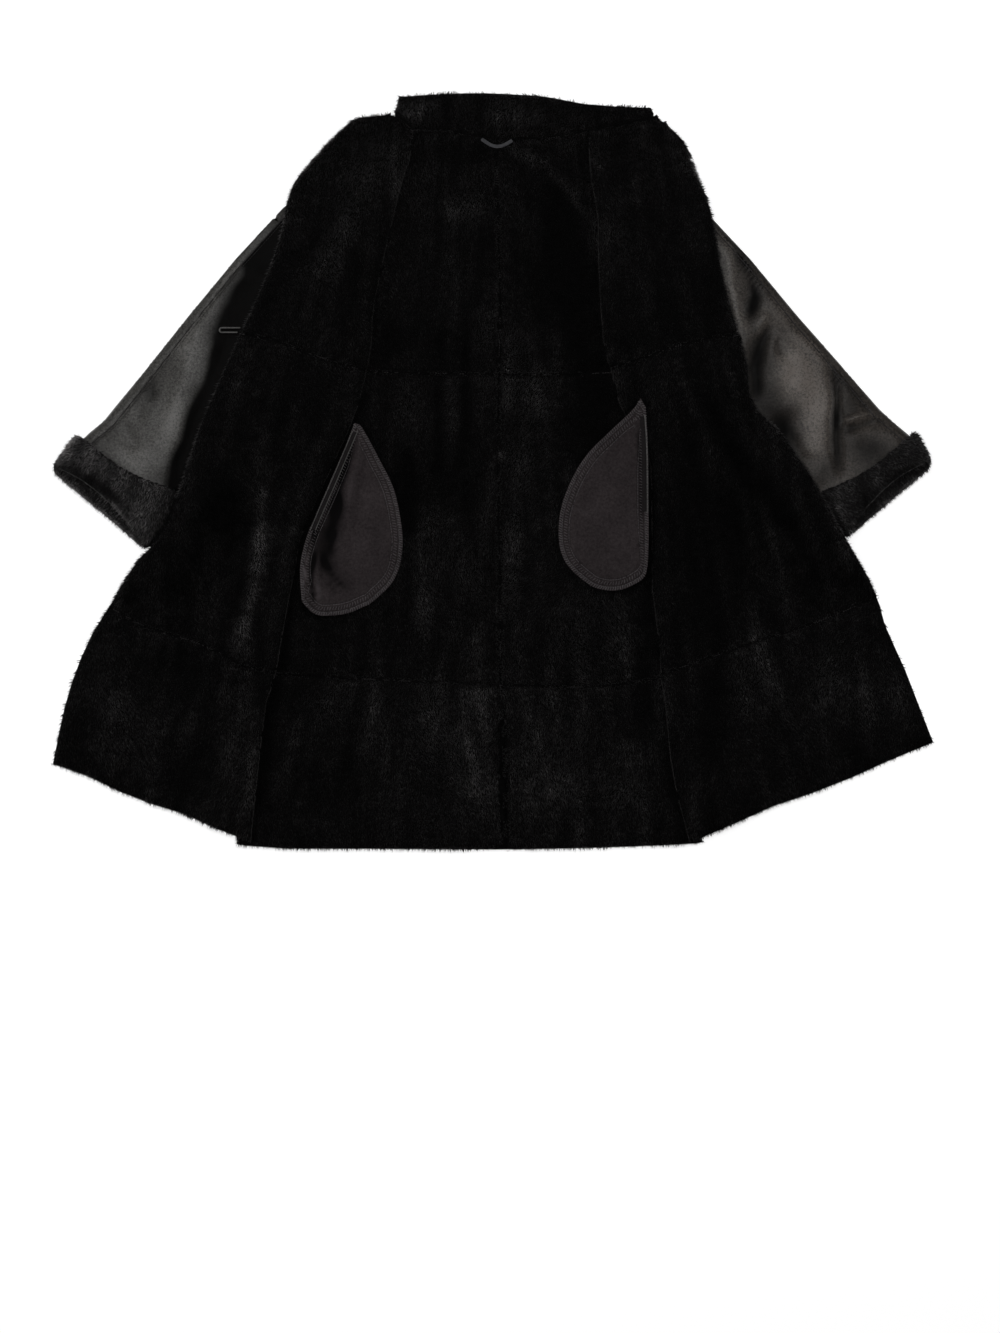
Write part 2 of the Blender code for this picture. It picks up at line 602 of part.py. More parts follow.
def pocket(side, bag, front_outline, front_layers):
    """A D-shaped bag of two cotton layers, with a facing along its mouth."""
    mouth = smooth_line(bag["mouth"])
    outer = smooth_line(bag["outer"])
    mouth_is_left = side == "left"
    bottom = smooth_line(bag["bottom"])
    tip = straight_line(bag["tip"])
    sides = {"left": reverse(mouth if mouth_is_left else outer),
             "right": reverse(outer if mouth_is_left else mouth),
             "bottom": bottom if mouth_is_left else reverse(bottom),
             "top": tip if mouth_is_left else reverse(tip)}

    def carried(place):
        on_back = WALL + LAY_GAP + max(fold_rise(place, BACK_FOLDS), 0.0)
        on_front = resting_height(place, front_layers) + WALL + 2 * LAY_GAP
        return on_back + (on_front - on_back) * drape(place, front_outline, 20.0, 55.0)

    step = COTTON + 0.3
    panel(f"pocket_under_{side}", cotton, sides, spaced(6), spaced(8), (),
          base=carried, relief=lambda place: 0.0, wall=COTTON)
    panel(f"pocket_over_{side}", cotton, sides, spaced(6), spaced(8), (),
          base=lambda place: carried(place) + step, relief=lambda place: 0.0, wall=COTTON)
    inward = Vector((1.0 if mouth_is_left else -1.0, 0.0))
    start = 0.05
    end = 0.62
    lines = []
    for away in (FACING_INSET, FACING_INSET + FACING_WIDTH):
        lines.append(Line([mouth.at(start + (end - start) * k / 12) + inward * away
                           for k in range(13)]))
    if not mouth_is_left:
        lines.reverse()
    facing = {"left": reverse(lines[0]), "right": reverse(lines[1]),
              "bottom": Line([lines[0].at(1), lines[1].at(1)]),
              "top": Line([lines[0].at(0), lines[1].at(0)])}
    panel(f"pocket_facing_{side}", cotton, facing, [0.0, 0.5, 1.0], spaced(8), (),
          base=lambda place: carried(place) + 2 * step + 0.2, relief=lambda place: 0.0,
          wall=COTTON)


def hanger_loop():
    """A short tape caught in the neck seam, hanging slack over the back."""
    middles = []
    for k in range(9):
        share = k / 8
        x, y = Vector(HANGER_ENDS[:2]).lerp(Vector(HANGER_ENDS[2:]), share)
        place = Vector((x, y - HANGER_SAG * math.sin(math.pi * share)))
        rise = max(fold_rise(place, BACK_FOLDS), 0.0)
        middles.append((*place, WALL + rise + 2 * LAY_GAP))
    strip("hanger_loop", tape, middles, 5.0, 1.5)


def button_loop():
    """A cord loop at the left front's edge, lying flat on the sleeve's skin."""
    tip_x, middle_y, half, height = LOOP_TIP
    path = [(LOOP_ROOTS[0], middle_y + half)]
    path += [(tip_x + half - half * math.sin(turn), middle_y + half * math.cos(turn))
             for turn in (math.pi * k / 8 for k in range(9))]
    path.append((LOOP_ROOTS[1], middle_y - half))
    sections = []
    for i, point in enumerate(path):
        along = Vector(path[min(i + 1, len(path) - 1)]) - Vector(path[max(i - 1, 0)])
        side = Vector((-along.y, along.x, 0)).normalized()
        centre = Vector((*point, height))
        turns = [math.pi * k / 3 for k in range(6)]
        sections.append([centre + LOOP_CORD / 2 * (side * math.cos(turn)
                                                   + Vector((0, 0, math.sin(turn))))
                         for turn in turns])
    loft("button_loop", leather, sections)


def centre_on_origin():
    """Bring the middle of the coat's box in plan to the origin."""
    things = [thing for thing in bpy.data.objects if thing.type == "MESH"]
    spots = [vert.co for thing in things for vert in thing.data.vertices]
    xs = [spot.x for spot in spots]
    ys = [spot.y for spot in spots]
    shift = Vector((-(min(xs) + max(xs)) / 2, -(min(ys) + max(ys)) / 2, 0.0))
    for thing in things:
        thing.data.transform(Matrix.Translation(shift))


collar()
back_half("left", LEFT_BACK_EDGE, BACK_WAIST_LEFT, BACK_BAND_LEFT, BACK_HEM_LEFT, NECK_LEFT)
back_half("right", RIGHT_BACK_EDGE, BACK_WAIST_RIGHT, BACK_BAND_RIGHT, BACK_HEM_RIGHT, NECK_RIGHT)
left_rows = sleeve("left", LEFT_SLEEVE, LEFT_CUFF)
right_rows = sleeve("right", RIGHT_SLEEVE, RIGHT_CUFF)
left_layers = layers_below_front(LEFT_BACK_EDGE, left_rows, LEFT_CUFF)
right_layers = layers_below_front(RIGHT_BACK_EDGE, right_rows, RIGHT_CUFF)
front("left", LEFT_FRONT_EDGE, LEFT_FRONT_FOLD, LEFT_TOP, LEFT_WAIST, LEFT_BAND, LEFT_HEM,
      left_layers)
front("right", RIGHT_FRONT_EDGE, RIGHT_FRONT_FOLD, RIGHT_TOP[::-1], RIGHT_WAIST, RIGHT_BAND,
      RIGHT_HEM, right_layers)
pocket("left", LEFT_BAG, between(LEFT_FRONT_EDGE, LEFT_FRONT_FOLD), left_layers)
pocket("right", RIGHT_BAG, between(RIGHT_FRONT_EDGE, RIGHT_FRONT_FOLD), right_layers)
hanger_loop()
button_loop()
centre_on_origin()
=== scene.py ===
import json
import math
import random

import bmesh
import bpy
from mathutils import Matrix, Vector, noise
from mathutils.bvhtree import BVHTree
from mathutils.kdtree import KDTree

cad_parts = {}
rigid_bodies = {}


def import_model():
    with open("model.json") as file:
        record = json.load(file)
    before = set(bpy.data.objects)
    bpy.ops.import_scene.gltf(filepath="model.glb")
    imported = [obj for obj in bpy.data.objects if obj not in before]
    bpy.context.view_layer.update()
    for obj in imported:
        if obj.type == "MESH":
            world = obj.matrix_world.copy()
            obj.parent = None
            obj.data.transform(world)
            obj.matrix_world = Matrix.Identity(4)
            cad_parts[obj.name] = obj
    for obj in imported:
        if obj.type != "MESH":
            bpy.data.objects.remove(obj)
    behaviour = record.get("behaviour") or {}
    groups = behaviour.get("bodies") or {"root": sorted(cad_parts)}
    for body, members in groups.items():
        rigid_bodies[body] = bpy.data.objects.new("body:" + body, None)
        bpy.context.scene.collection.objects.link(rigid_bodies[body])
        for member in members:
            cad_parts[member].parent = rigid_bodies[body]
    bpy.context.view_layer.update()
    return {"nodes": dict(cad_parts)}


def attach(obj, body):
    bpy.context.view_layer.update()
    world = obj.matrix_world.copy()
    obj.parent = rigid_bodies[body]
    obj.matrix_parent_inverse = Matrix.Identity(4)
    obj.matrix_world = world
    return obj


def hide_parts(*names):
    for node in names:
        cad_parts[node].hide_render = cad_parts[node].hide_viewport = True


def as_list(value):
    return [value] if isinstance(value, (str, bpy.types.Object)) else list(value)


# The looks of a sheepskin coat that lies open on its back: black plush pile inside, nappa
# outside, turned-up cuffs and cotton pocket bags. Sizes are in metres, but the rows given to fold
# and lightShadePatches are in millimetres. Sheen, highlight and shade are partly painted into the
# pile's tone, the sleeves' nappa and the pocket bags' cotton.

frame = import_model()
cadNodes = frame["nodes"]
sides = ("left", "right")
tiers = ("upper", "middle", "hem")
up = Vector((0, 0, 1))


def clamp(value, low=0.0, high=1.0):
    return min(max(value, low), high)


def smoothStep(share):
    share = clamp(share)
    return share * share * (3 - 2 * share)


def noiseAt(spot, scale, seed):
    # smooth noise over the plan, about -1 to 1
    return noise.noise(Vector((spot.x * scale, spot.y * scale, seed)))


# node trees

class Wire:
    # one output of a node; sums and products of wires and numbers add Math nodes
    def __init__(self, tree, socket):
        self.tree = tree
        self.socket = socket

    def other(self, output):
        return Wire(self.tree, self.socket.node.outputs[output])

    def maths(self, operation, first, second=0.0):
        return self.tree.make("ShaderNodeMath", {"operation": operation}, {0: first, 1: second})

    def __add__(self, other):
        return self.maths("ADD", self, other)

    def __radd__(self, other):
        return self.maths("ADD", other, self)

    def __sub__(self, other):
        return self.maths("SUBTRACT", self, other)

    def __rsub__(self, other):
        return self.maths("SUBTRACT", other, self)

    def __mul__(self, other):
        return self.maths("MULTIPLY", self, other)

    def __rmul__(self, other):
        return self.maths("MULTIPLY", other, self)

    def __pow__(self, other):
        return self.maths("POWER", self, other)

    def atMost(self, other):
        return self.maths("MINIMUM", self, other)

    def atLeast(self, other):
        return self.maths("MAXIMUM", self, other)

    def ramp(self, low, high):
        # 0 below low, 1 above high and straight between
        return self.tree.make("ShaderNodeMapRange", {"clamp": True},
                              {"Value": self, "From Min": low, "From Max": high})


class Tree:
    # a material's, the world's or a modifier's nodes
    def __init__(self, nodeTree):
        self.nodeTree = nodeTree
        nodeTree.nodes.clear()

    def plug(self, value, socket):
        if isinstance(value, Wire):
            self.nodeTree.links.new(value.socket, socket)
        else:
            socket.default_value = value

    def make(self, kind, settings=None, sockets=None, output=0):
        node = self.nodeTree.nodes.new(kind)
        for key, value in (settings or {}).items():
            setattr(node, key, value)
        for key, value in (sockets or {}).items():
            self.plug(value, node.inputs[key])
        if node.outputs:
            return Wire(self, node.outputs[output])

    def mixColour(self, share, first, second):
        return self.make("ShaderNodeMix", {"data_type": "RGBA"},
                         {0: share, 6: colour(first), 7: colour(second)}, 2)


def colour(value):
    return value if isinstance(value, Wire) else (*value, 1.0)


def newMaterial(name):
    material = bpy.data.materials.new(name)
    material.use_nodes = True
    return material, Tree(material.node_tree)


def closeMaterial(tree, sockets):
    shader = tree.make("ShaderNodeBsdfPrincipled", {}, sockets)
    tree.make("ShaderNodeOutputMaterial", {}, {"Surface": shader})


def noiseWire(tree, vector, scale, detail=2.0, roughness=0.5, distortion=0.0):
    return tree.make("ShaderNodeTexNoise", {}, {"Vector": vector, "Scale": scale, "Detail": detail,
                                                "Roughness": roughness, "Distortion": distortion})


def place(tree):
    return tree.make("ShaderNodeTexCoord", {}, {}, "Object")


def bump(tree, height, distance, strength=1.0, normal=None):
    sockets = {"Height": height, "Distance": distance, "Strength": strength}
    if normal is not None:
        sockets["Normal"] = normal
    return tree.make("ShaderNodeBump", {}, sockets)


# finishes

furLook = {"deep": (0.0008, 0.0008, 0.0008), "tip": (0.0060, 0.0057, 0.0057), "specular": 0.05,
           "roughness": 0.95, "clumpScale": 190.0, "hairScale": 900.0, "relief": 0.0022}
tuftLook = {"tones": [0.0010, 0.0018, 0.0031, 0.0054, 0.0094, 0.0164, 0.0287, 0.0503, 0.0880, 0.140],
            "tint": (1.0, 0.95, 0.95), "specular": 0.05, "roughness": 0.5}
# the nappa's sheenColour and warmSheen are the colours of its painted sheen, warmer on the right
# sleeve
nappaLook = {"dark": (0.0022, 0.0021, 0.0020), "sheenColour": (0.092, 0.089, 0.084),
             "warmSheen": (0.104, 0.089, 0.078), "specular": 0.03, "coat": 0.30, "gloss": 0.34,
             "matt": 0.50, "coatRoughness": 0.32, "poreScale": 560.0, "mottleScale": 340.0,
             "patchScale": 12.0, "grain": 0.00022, "wrinkleScale": 75.0, "wrinkle": 0.0006}
cottonLook = {"shade": (0.0110, 0.0088, 0.0093), "light": (0.0400, 0.0330, 0.0343),
              "hollow": (0.0016, 0.0013, 0.0014), "rim": (0.060, 0.052, 0.055), "folded": False,
              "rib": 340.0, "yarn": 1100.0, "slub": 270.0, "patch": 28.0, "relief": 0.0003,
              "roughness": 0.86, "sheen": 0.02, "specular": 0.06}


def makeFur(name, look):
    material, tree = newMaterial(name)
    at = place(tree)
    clumps = noiseWire(tree, at, look["clumpScale"], 2.0, 0.6)
    hairs = noiseWire(tree, at, look["hairScale"], 1.0)
    tone = clumps.ramp(0.35, 0.72) * hairs.ramp(0.3, 0.75)
    height = clumps * 0.6 + hairs * 0.4
    closeMaterial(tree, {
        "Base Color": tree.mixColour(tone, look["deep"], look["tip"]),
        "Roughness": look["roughness"], "Specular IOR Level": look["specular"],
        "Normal": bump(tree, height, look["relief"])})
    return material


def makeTuftTones():
    tones = []
    for number, tone in enumerate(tuftLook["tones"]):
        material, tree = newMaterial(f"pileTone{number}")
        shade = tuple(tone * share for share in tuftLook["tint"])
        closeMaterial(tree, {"Base Color": colour(shade), "Roughness": tuftLook["roughness"],
                             "Specular IOR Level": tuftLook["specular"]})
        tones.append(material)
    return tones


def makeNappa(name, hasPaintedLight):
    # wearSheenShade is the sleeves' own attribute: painted shade near 0 in the hollows and painted
    # sheen near 1 in the satin places, where the skin is also glossier; on other nappa it is random
    # wear
    material, tree = newMaterial(name)
    at = place(tree)
    cells = tree.make("ShaderNodeTexVoronoi", {"feature": "DISTANCE_TO_EDGE"},
                      {"Vector": at, "Scale": nappaLook["poreScale"]})
    pores = cells.ramp(0.0, 0.22)
    mottle = noiseWire(tree, at, nappaLook["mottleScale"], 3.0, 0.8).ramp(0.3, 0.7)
    wrinkles = noiseWire(tree, at, nappaLook["wrinkleScale"], 5.0, 0.62, 0.6)
    patches = noiseWire(tree, at, nappaLook["patchScale"], 4.0, 0.6)
    if hasPaintedLight:
        wearSheenShade = tree.make("ShaderNodeAttribute", {"attribute_name": "wearSheenShade"}, {}, "Fac")
        wearSheenShade = wearSheenShade + (patches - 0.5) * 0.5
    else:
        wearSheenShade = patches.ramp(0.35, 0.85) * 0.3
    glossAndSheen = wearSheenShade.ramp(0.0, 1.0)
    tone = glossAndSheen ** 1.5 * (0.12 + mottle * 1.5 + pores * 0.15)
    across = tree.make("ShaderNodeSeparateXYZ", {}, {"Vector": at})
    sheenColour = tree.mixColour(across.ramp(0.2, 0.42), nappaLook["sheenColour"], nappaLook["warmSheen"])
    grain = bump(tree, pores * 0.6 + mottle * 0.4, nappaLook["grain"], 0.8)
    closeMaterial(tree, {
        "Base Color": tree.mixColour(tone.atMost(1.0), nappaLook["dark"], sheenColour),
        "Roughness": nappaLook["matt"] - glossAndSheen * (nappaLook["matt"] - nappaLook["gloss"]),
        "Specular IOR Level": nappaLook["specular"], "Coat Weight": glossAndSheen * nappaLook["coat"],
        "Coat Roughness": nappaLook["coatRoughness"],
        "Normal": bump(tree, wrinkles, nappaLook["wrinkle"], 0.8, grain)})
    return material


def makeCotton(name, look):
    material, tree = newMaterial(name)
    at = place(tree)
    ribs = tree.make("ShaderNodeTexWave", {"wave_type": "BANDS", "bands_direction": "DIAGONAL"},
                     {"Vector": at, "Scale": look["rib"], "Distortion": 0.6, "Detail": 1.0}, "Fac")
    yarn = noiseWire(tree, at, look["yarn"], 2.0)
    slubs = noiseWire(tree, at, look["slub"], 3.0, 0.8).ramp(0.34, 0.66)
    patches = noiseWire(tree, at, look["patch"], 4.0, 0.6).ramp(0.3, 0.7)
    shown = tree.mixColour(ribs * 0.06 + yarn * 0.12 + slubs * 0.58 + patches * 0.24,
                           look["shade"], look["light"])
    if look["folded"]:
        # the bags' shadeAndRim attribute: painted shade down to 0 deep in the folds, 0.6 on the flat,
        # and up to 1 at the lighter overlocked rim; hollow is the painted shade's colour
        shadeAndRim = tree.make("ShaderNodeAttribute", {"attribute_name": "shadeAndRim"}, {}, "Fac")
        shown = tree.mixColour(shadeAndRim.ramp(0.0, 0.6), look["hollow"], shown)
        shown = tree.mixColour(shadeAndRim.ramp(0.6, 1.0), shown, look["rim"])
    closeMaterial(tree, {
        "Base Color": shown, "Roughness": look["roughness"],
        "Specular IOR Level": look["specular"], "Sheen Weight": look["sheen"],
        "Sheen Roughness": 0.5,
        "Normal": bump(tree, ribs * 0.7 + yarn * 0.3, look["relief"], 0.7)})
    return material


fur = makeFur("plushPile", furLook)
cuffFur = makeFur("cuffPile", {**furLook, "deep": (0.0045, 0.0043, 0.0043),
                               "tip": (0.0260, 0.0250, 0.0250)})
tuftTones = makeTuftTones()
nappa = makeNappa("blackNappa", False)
sleeveNappa = makeNappa("sleeveNappa", True)
cotton = makeCotton("charcoalCotton", {**cottonLook, "folded": True})
tape = makeCotton("charcoalTape", {**cottonLook, "shade": (0.030, 0.030, 0.033),
                                   "light": (0.075, 0.075, 0.080), "rib": 420.0})
darkFacing = makeCotton("darkFacing", {**cottonLook, "shade": (0.0060, 0.0052, 0.0054),
                                       "light": (0.0150, 0.0132, 0.0136), "rib": 500.0})
thread = makeCotton("thread", {**cottonLook, "shade": (0.040, 0.036, 0.038),
                               "light": (0.120, 0.110, 0.114), "rib": 900.0})
darkThread = makeCotton("darkThread", {**cottonLook, "shade": (0.0025, 0.0023, 0.0024),
                                       "light": (0.0060, 0.0055, 0.0058), "rib": 900.0})
seamThread = makeCotton("seamThread", {**cottonLook, "shade": (0.008, 0.0075, 0.0075),
                                       "light": (0.048, 0.045, 0.046), "rib": 300.0})
suede = makeCotton("suedeEdge", {**cottonLook, "shade": (0.008, 0.0075, 0.0075),
                                 "light": (0.034, 0.032, 0.032), "rib": 150.0})
cordSkin = makeCotton("cordSkin", {**cottonLook, "shade": (0.040, 0.039, 0.038),
                                   "light": (0.120, 0.117, 0.114), "rib": 260.0})


# bodies remeshed from the frame's nodes

def link(name, mesh, *materials):
    thing = bpy.data.objects.new(name, mesh)
    bpy.context.scene.collection.objects.link(thing)
    mesh.materials.clear()
    for material in materials:
        mesh.materials.append(material)
    return thing


def bmeshOf(name):
    bm = bmesh.new()
    bm.from_mesh(cadNodes[name].data)
    bmesh.ops.remove_doubles(bm, verts=bm.verts, dist=0.00001)
    return bm


def evenMesh(name, bm, voxel, thicken=1.0):
    # a closed skin of even quads; thicken stretches thin cloth upwards while it is remeshed
    bmesh.ops.scale(bm, vec=(1, 1, thicken), verts=bm.verts)
    mesh = bpy.data.meshes.new(name)
    bm.to_mesh(mesh)
    bm.free()
    rough = link(name + "_rough", mesh)
    remesh = rough.modifiers.new("even", "REMESH")
    remesh.mode = "VOXEL"
    remesh.voxel_size = voxel
    ready = rough.evaluated_get(bpy.context.evaluated_depsgraph_get())
    even = bpy.data.meshes.new_from_object(ready)
    bpy.data.objects.remove(rough)
    made = bmesh.new()
    made.from_mesh(even)
    bpy.data.meshes.remove(even)
    bmesh.ops.scale(made, vec=(1, 1, 1 / thicken), verts=made.verts)
    return made


def soften(bm, times):
    for _ in range(times):
        bmesh.ops.smooth_vert(bm, verts=bm.verts, factor=0.5, use_axis_x=True, use_axis_y=True,
                              use_axis_z=True)


def oneFinish(bm):
    for face in bm.faces:
        face.material_index = 0


def treeOf(names):
    spots = []
    polygons = []
    for name in names:
        mesh = cadNodes[name].data
        first = len(spots)
        spots += [vert.co.copy() for vert in mesh.vertices]
        polygons += [[first + i for i in polygon.vertices] for polygon in mesh.polygons]
    return BVHTree.FromPolygons(spots, polygons)


wallSlope = 0.55
seamSearch = {"touch": 0.0022, "back": 0.003, "steps": (0.0015, 0.003, 0.0045), "lift": 0.03}
coverReach = 0.12


class Neighbours:
    # what lies round one node: its own walls, and all the other nodes
    def __init__(self, name):
        mesh = cadNodes[name].data
        spots = [vert.co.copy() for vert in mesh.vertices]
        self.body = treeOf([name])
        self.others = treeOf([other for other in cadNodes if other != name])
        walls = [polygon for polygon in mesh.polygons if abs(polygon.normal.z) < wallSlope]
        self.walls = BVHTree.FromPolygons(spots, [list(wall.vertices) for wall in walls])
        self.gaps = [self.gapBeside(wall) for wall in walls]

    def meets(self, spot):
        reach = seamSearch["lift"]
        return any(self.others.ray_cast(spot, way, reach)[0] is not None for way in (up, -up))

    def gapBeside(self, wall):
        # how far off the next piece begins, beside this one and not above or below it
        near = self.others.find_nearest(wall.center, seamSearch["touch"])[0]
        if near is not None and abs(near.z - wall.center.z) < 0.5 * (near - wall.center).length:
            return (near - wall.center).length
        way = Vector((wall.normal.x, wall.normal.y, 0)).normalized()
        if not self.meets(wall.center - way * seamSearch["back"]):
            for gap in seamSearch["steps"]:
                if self.meets(wall.center + way * gap):
                    return gap
        return None

    def edges(self, spot, reach):
        # every wall direction within reach, the nearest first: depth, way out and gap
        found = []
        for at, normal, index, _ in sorted(self.walls.find_nearest_range(spot, reach * 1.5),
                                           key=lambda hit: hit[3]):
            way = Vector((normal.x, normal.y, 0)).normalized()
            depth = (at - spot).dot(way)
            if depth < reach and all(way.dot(other[1]) < 0.7 for other in found):
                found.append((depth, way, self.gaps[index]))
        return found

    def edge(self, spot):
        # depth inside the nearest wall in plan, the way out through it and whether it is sewn
        found, normal, index, _ = self.walls.find_nearest(spot)
        way = Vector((normal.x, normal.y, 0)).normalized()
        gap = found - spot
        depth = Vector((gap.x, gap.y)).length
        return (depth if gap.dot(way) > 0 else -depth), way, self.gaps[index] is not None

    def covered(self, spot):
        return self.others.ray_cast(spot, up, coverReach)[0] is not None

    def thickness(self, spot):
        # how high the spot is above its own underside
        start = spot - up * 0.0004
        for _ in range(2):
            hit, normal = self.body.ray_cast(start, -up, 0.1)[:2]
            if hit is None:
                return 0.0
            if normal.z < 0.3:
                return (spot - hit).z
            start = hit - up * 0.0003
        return 0.0


def metres(size):
    return round(size / 1000, 7)


def fold(rise, wide, *path, tone=None):
    # a soft ridge or trough along a path, in millimetres; a positive tone paints highlight along
    # it and a negative one paints shade, by default lighter on a ridge and darker in a trough
    points = [Vector([metres(size) for size in place]) for place in path]
    return {"rise": metres(rise), "wide": metres(wide), "points": points,
            "lengths": [(b - a).length for a, b in zip(points, points[1:])],
            "tone": metres(rise) * 320 if tone is None else tone}


def lightShadePatches(*rows):
    # patches of painted sheen and shade: middle, half width and half height in millimetres, and by how
    # much
    return [(*[metres(size) for size in row[:4]], row[4]) for row in rows]


def foldAt(spot, folds):
    # the rise and the painted highlight and shade that folds give a place, uneven along their length
    rise = 0.0
    tone = 0.0
    for item in folds:
        best = None
        before = 0.0
        for start, end, length in zip(item["points"], item["points"][1:], item["lengths"]):
            part = clamp((spot.xy - start).dot(end - start) / length ** 2)
            away = (spot.xy - start.lerp(end, part)).length
            if best is None or away < best[0]:
                best = (away, before + part * length)
            before += length
        away, along = best
        if away < 3 * item["wide"]:
            x, y = item["points"][0]
            ends = (3.4 * along / before, 3.4 * (1 - along / before))
            taper = smoothStep(0.15 + ends[0]) * smoothStep(0.15 + ends[1])
            uneven = 0.85 + 0.45 * noise.noise(Vector((along * 30, x * 40, y * 40)))
            wide = item["wide"] * (0.95 + 0.4 * noise.noise(Vector((y * 37, along * 22, x * 31))))
            share = taper * uneven * math.exp(-(away / wide) ** 2)
            rise += item["rise"] * share
            tone += item["tone"] * share
    return rise, tone


def meshFrom(bm, name):
    mesh = bpy.data.meshes.new(name)
    bm.to_mesh(mesh)
    bm.free()
    mesh.shade_smooth()
    return mesh


def linkForm(name, bm, *materials):
    return link(name, meshFrom(bm, name), *materials)


# the pile: tufts planted on the fur side

tuftShape = {"sides": 3, "width": 0.00095, "length": 0.0068, "sunk": 0.2, "bend": 0.35,
             "spacing": 0.00152, "density": 900000.0, "clumps": 230.0}
tuftCollection = bpy.data.collections.new("tuftShapes")


def makeTuftShapes():
    for number, tone in enumerate(tuftTones):
        bm = bmesh.new()
        bmesh.ops.create_cone(bm, segments=tuftShape["sides"], radius1=1.0, radius2=0.0,
                              depth=1.0, cap_ends=False)
        bmesh.ops.translate(bm, verts=bm.verts, vec=(0, 0, 0.5 - tuftShape["sunk"]))
        for vert in bm.verts:
            if vert.co.z > 0.5:
                vert.co.x += tuftShape["bend"]
        mesh = meshFrom(bm, f"tuft{number}")
        mesh.materials.append(tone)
        tuftCollection.objects.link(bpy.data.objects.new(f"tuft{number}", mesh))


def makePlanting():
    # Geometry Nodes that plant, lean and size the tufts by the ground's attributes
    group = bpy.data.node_groups.new("planting", "GeometryNodeTree")
    group.interface.new_socket("Geometry", in_out="INPUT", socket_type="NodeSocketGeometry")
    group.interface.new_socket("Geometry", in_out="OUTPUT", socket_type="NodeSocketGeometry")
    tree = Tree(group)

    def attribute(name, kind="FLOAT"):
        return tree.make("GeometryNodeInputNamedAttribute", {"data_type": kind}, {"Name": name})

    def randomNumber(low, high, seed):
        return tree.make("FunctionNodeRandomValue", {"data_type": "FLOAT"},
                         {2: low, 3: high, "Seed": seed}, 1)

    ground = tree.make("NodeGroupInput")
    points = tree.make("GeometryNodeDistributePointsOnFaces", {"distribute_method": "POISSON"},
                       {"Mesh": ground, "Distance Min": tuftShape["spacing"],
                        "Density Max": tuftShape["density"], "Density Factor": attribute("grow"),
                        "Seed": 7})
    normal = points.other("Normal")
    nap = attribute("nap", "FLOAT_VECTOR")
    at = tree.make("GeometryNodeInputPosition")
    clump = tree.make("ShaderNodeTexNoise", {}, {"Vector": at, "Scale": tuftShape["clumps"],
                                                 "Detail": 1.0})
    swirl = tree.make("ShaderNodeVectorMath", {"operation": "MULTIPLY_ADD"},
                      {0: clump.other("Color"), 1: (1.2, 1.2, 0.4), 2: (-0.6, -0.6, -0.2)})
    stray = tree.make("FunctionNodeRandomValue", {"data_type": "FLOAT_VECTOR"},
                      {0: (-0.3, -0.3, -0.2), 1: (0.3, 0.3, 0.3), "Seed": 3}, 0)
    way = normal
    for part in (nap, swirl, stray):
        way = tree.make("ShaderNodeVectorMath", {"operation": "ADD"}, {0: way, 1: part})
    turn = tree.make("FunctionNodeAlignRotationToVector", {"axis": "Z"}, {"Vector": way})
    spin = tree.make("FunctionNodeRandomValue", {"data_type": "FLOAT_VECTOR"},
                     {0: (0, 0, 0), 1: (0, 0, math.tau), "Seed": 11}, 0)
    turned = tree.make("FunctionNodeRotateRotation", {"rotation_space": "LOCAL"},
                       {"Rotation": turn, "Rotate By": spin})
    width = randomNumber(0.7, 1.25, 5) * tuftShape["width"]
    length = randomNumber(0.72, 1.2, 6) * attribute("long") * tuftShape["length"]
    size = tree.make("ShaderNodeCombineXYZ", {}, {0: width, 1: width, 2: length})
    tone = attribute("tone") + randomNumber(-0.9, 0.9, 9) + (clump * 4.2 - 2.1)
    shapes = tree.make("GeometryNodeCollectionInfo", {},
                       {"Collection": tuftCollection, "Separate Children": True,
                        "Reset Children": True})
    whole = tone.atLeast(0.0).atMost(len(tuftLook["tones"]) - 1.0)
    planted = tree.make("GeometryNodeInstanceOnPoints", {},
                        {"Points": points, "Instance": shapes, "Pick Instance": True,
                         "Instance Index": whole, "Rotation": turned, "Scale": size})
    real = tree.make("GeometryNodeRealizeInstances", {}, {"Geometry": planted})
    tree.make("NodeGroupOutput", {}, {0: real})
    return group


makeTuftShapes()
planting = makePlanting()


def plantTufts(name, bm):
    # bm has the ground where tufts grow, with its point attributes
    ground = linkForm(name + "_ground", bm)
    ground.modifiers.new("planting", "NODES").node_group = planting
    ready = ground.evaluated_get(bpy.context.evaluated_depsgraph_get())
    tufts = bpy.data.meshes.new_from_object(ready)
    bpy.data.objects.remove(ground)
    thing = bpy.data.objects.new(name + "_pile", tufts)
    bpy.context.scene.collection.objects.link(thing)
    tufts.shade_smooth()
    return thing


def napAt(spot, settings):
    # the way the pile leans, in plan: combed one way, swirling and clumped
    slow = Vector((spot.x * 9, spot.y * 9, settings["seed"]))
    quick = Vector((spot.x * 120, spot.y * 120, settings["seed"] + 5))
    angle = settings["comb"] + 0.9 * noise.noise(slow) + 0.8 * noise.noise(quick)
    lean = settings["lean"] * (1 + 0.55 * noise.noise(slow * 2.1 + Vector((3, 1, 7))))
    lean *= 1 + 0.5 * noise.noise(quick * 0.7 + Vector((9, 4, 1)))
    return Vector((math.cos(angle), math.sin(angle), 0)) * lean


furBase = {"voxel": 0.005, "sink": 0.0022, "comb": -math.pi / 2, "lean": 0.95, "tone": 3.7,
           "contrast": 1.3, "rim": 1.0, "seed": 1.0, "creases": [], "patches": [],
           "ownCover": False, "undulate": 0.0028, "freeInset": 0.0020, "sewnInset": -0.0006,
           "edgeZone": 0.012, "snap": 0.0042, "inner": 0.0, "restsOn": [], "puff": 0.0,
           "finish": None}
wallSnap = 0.0076


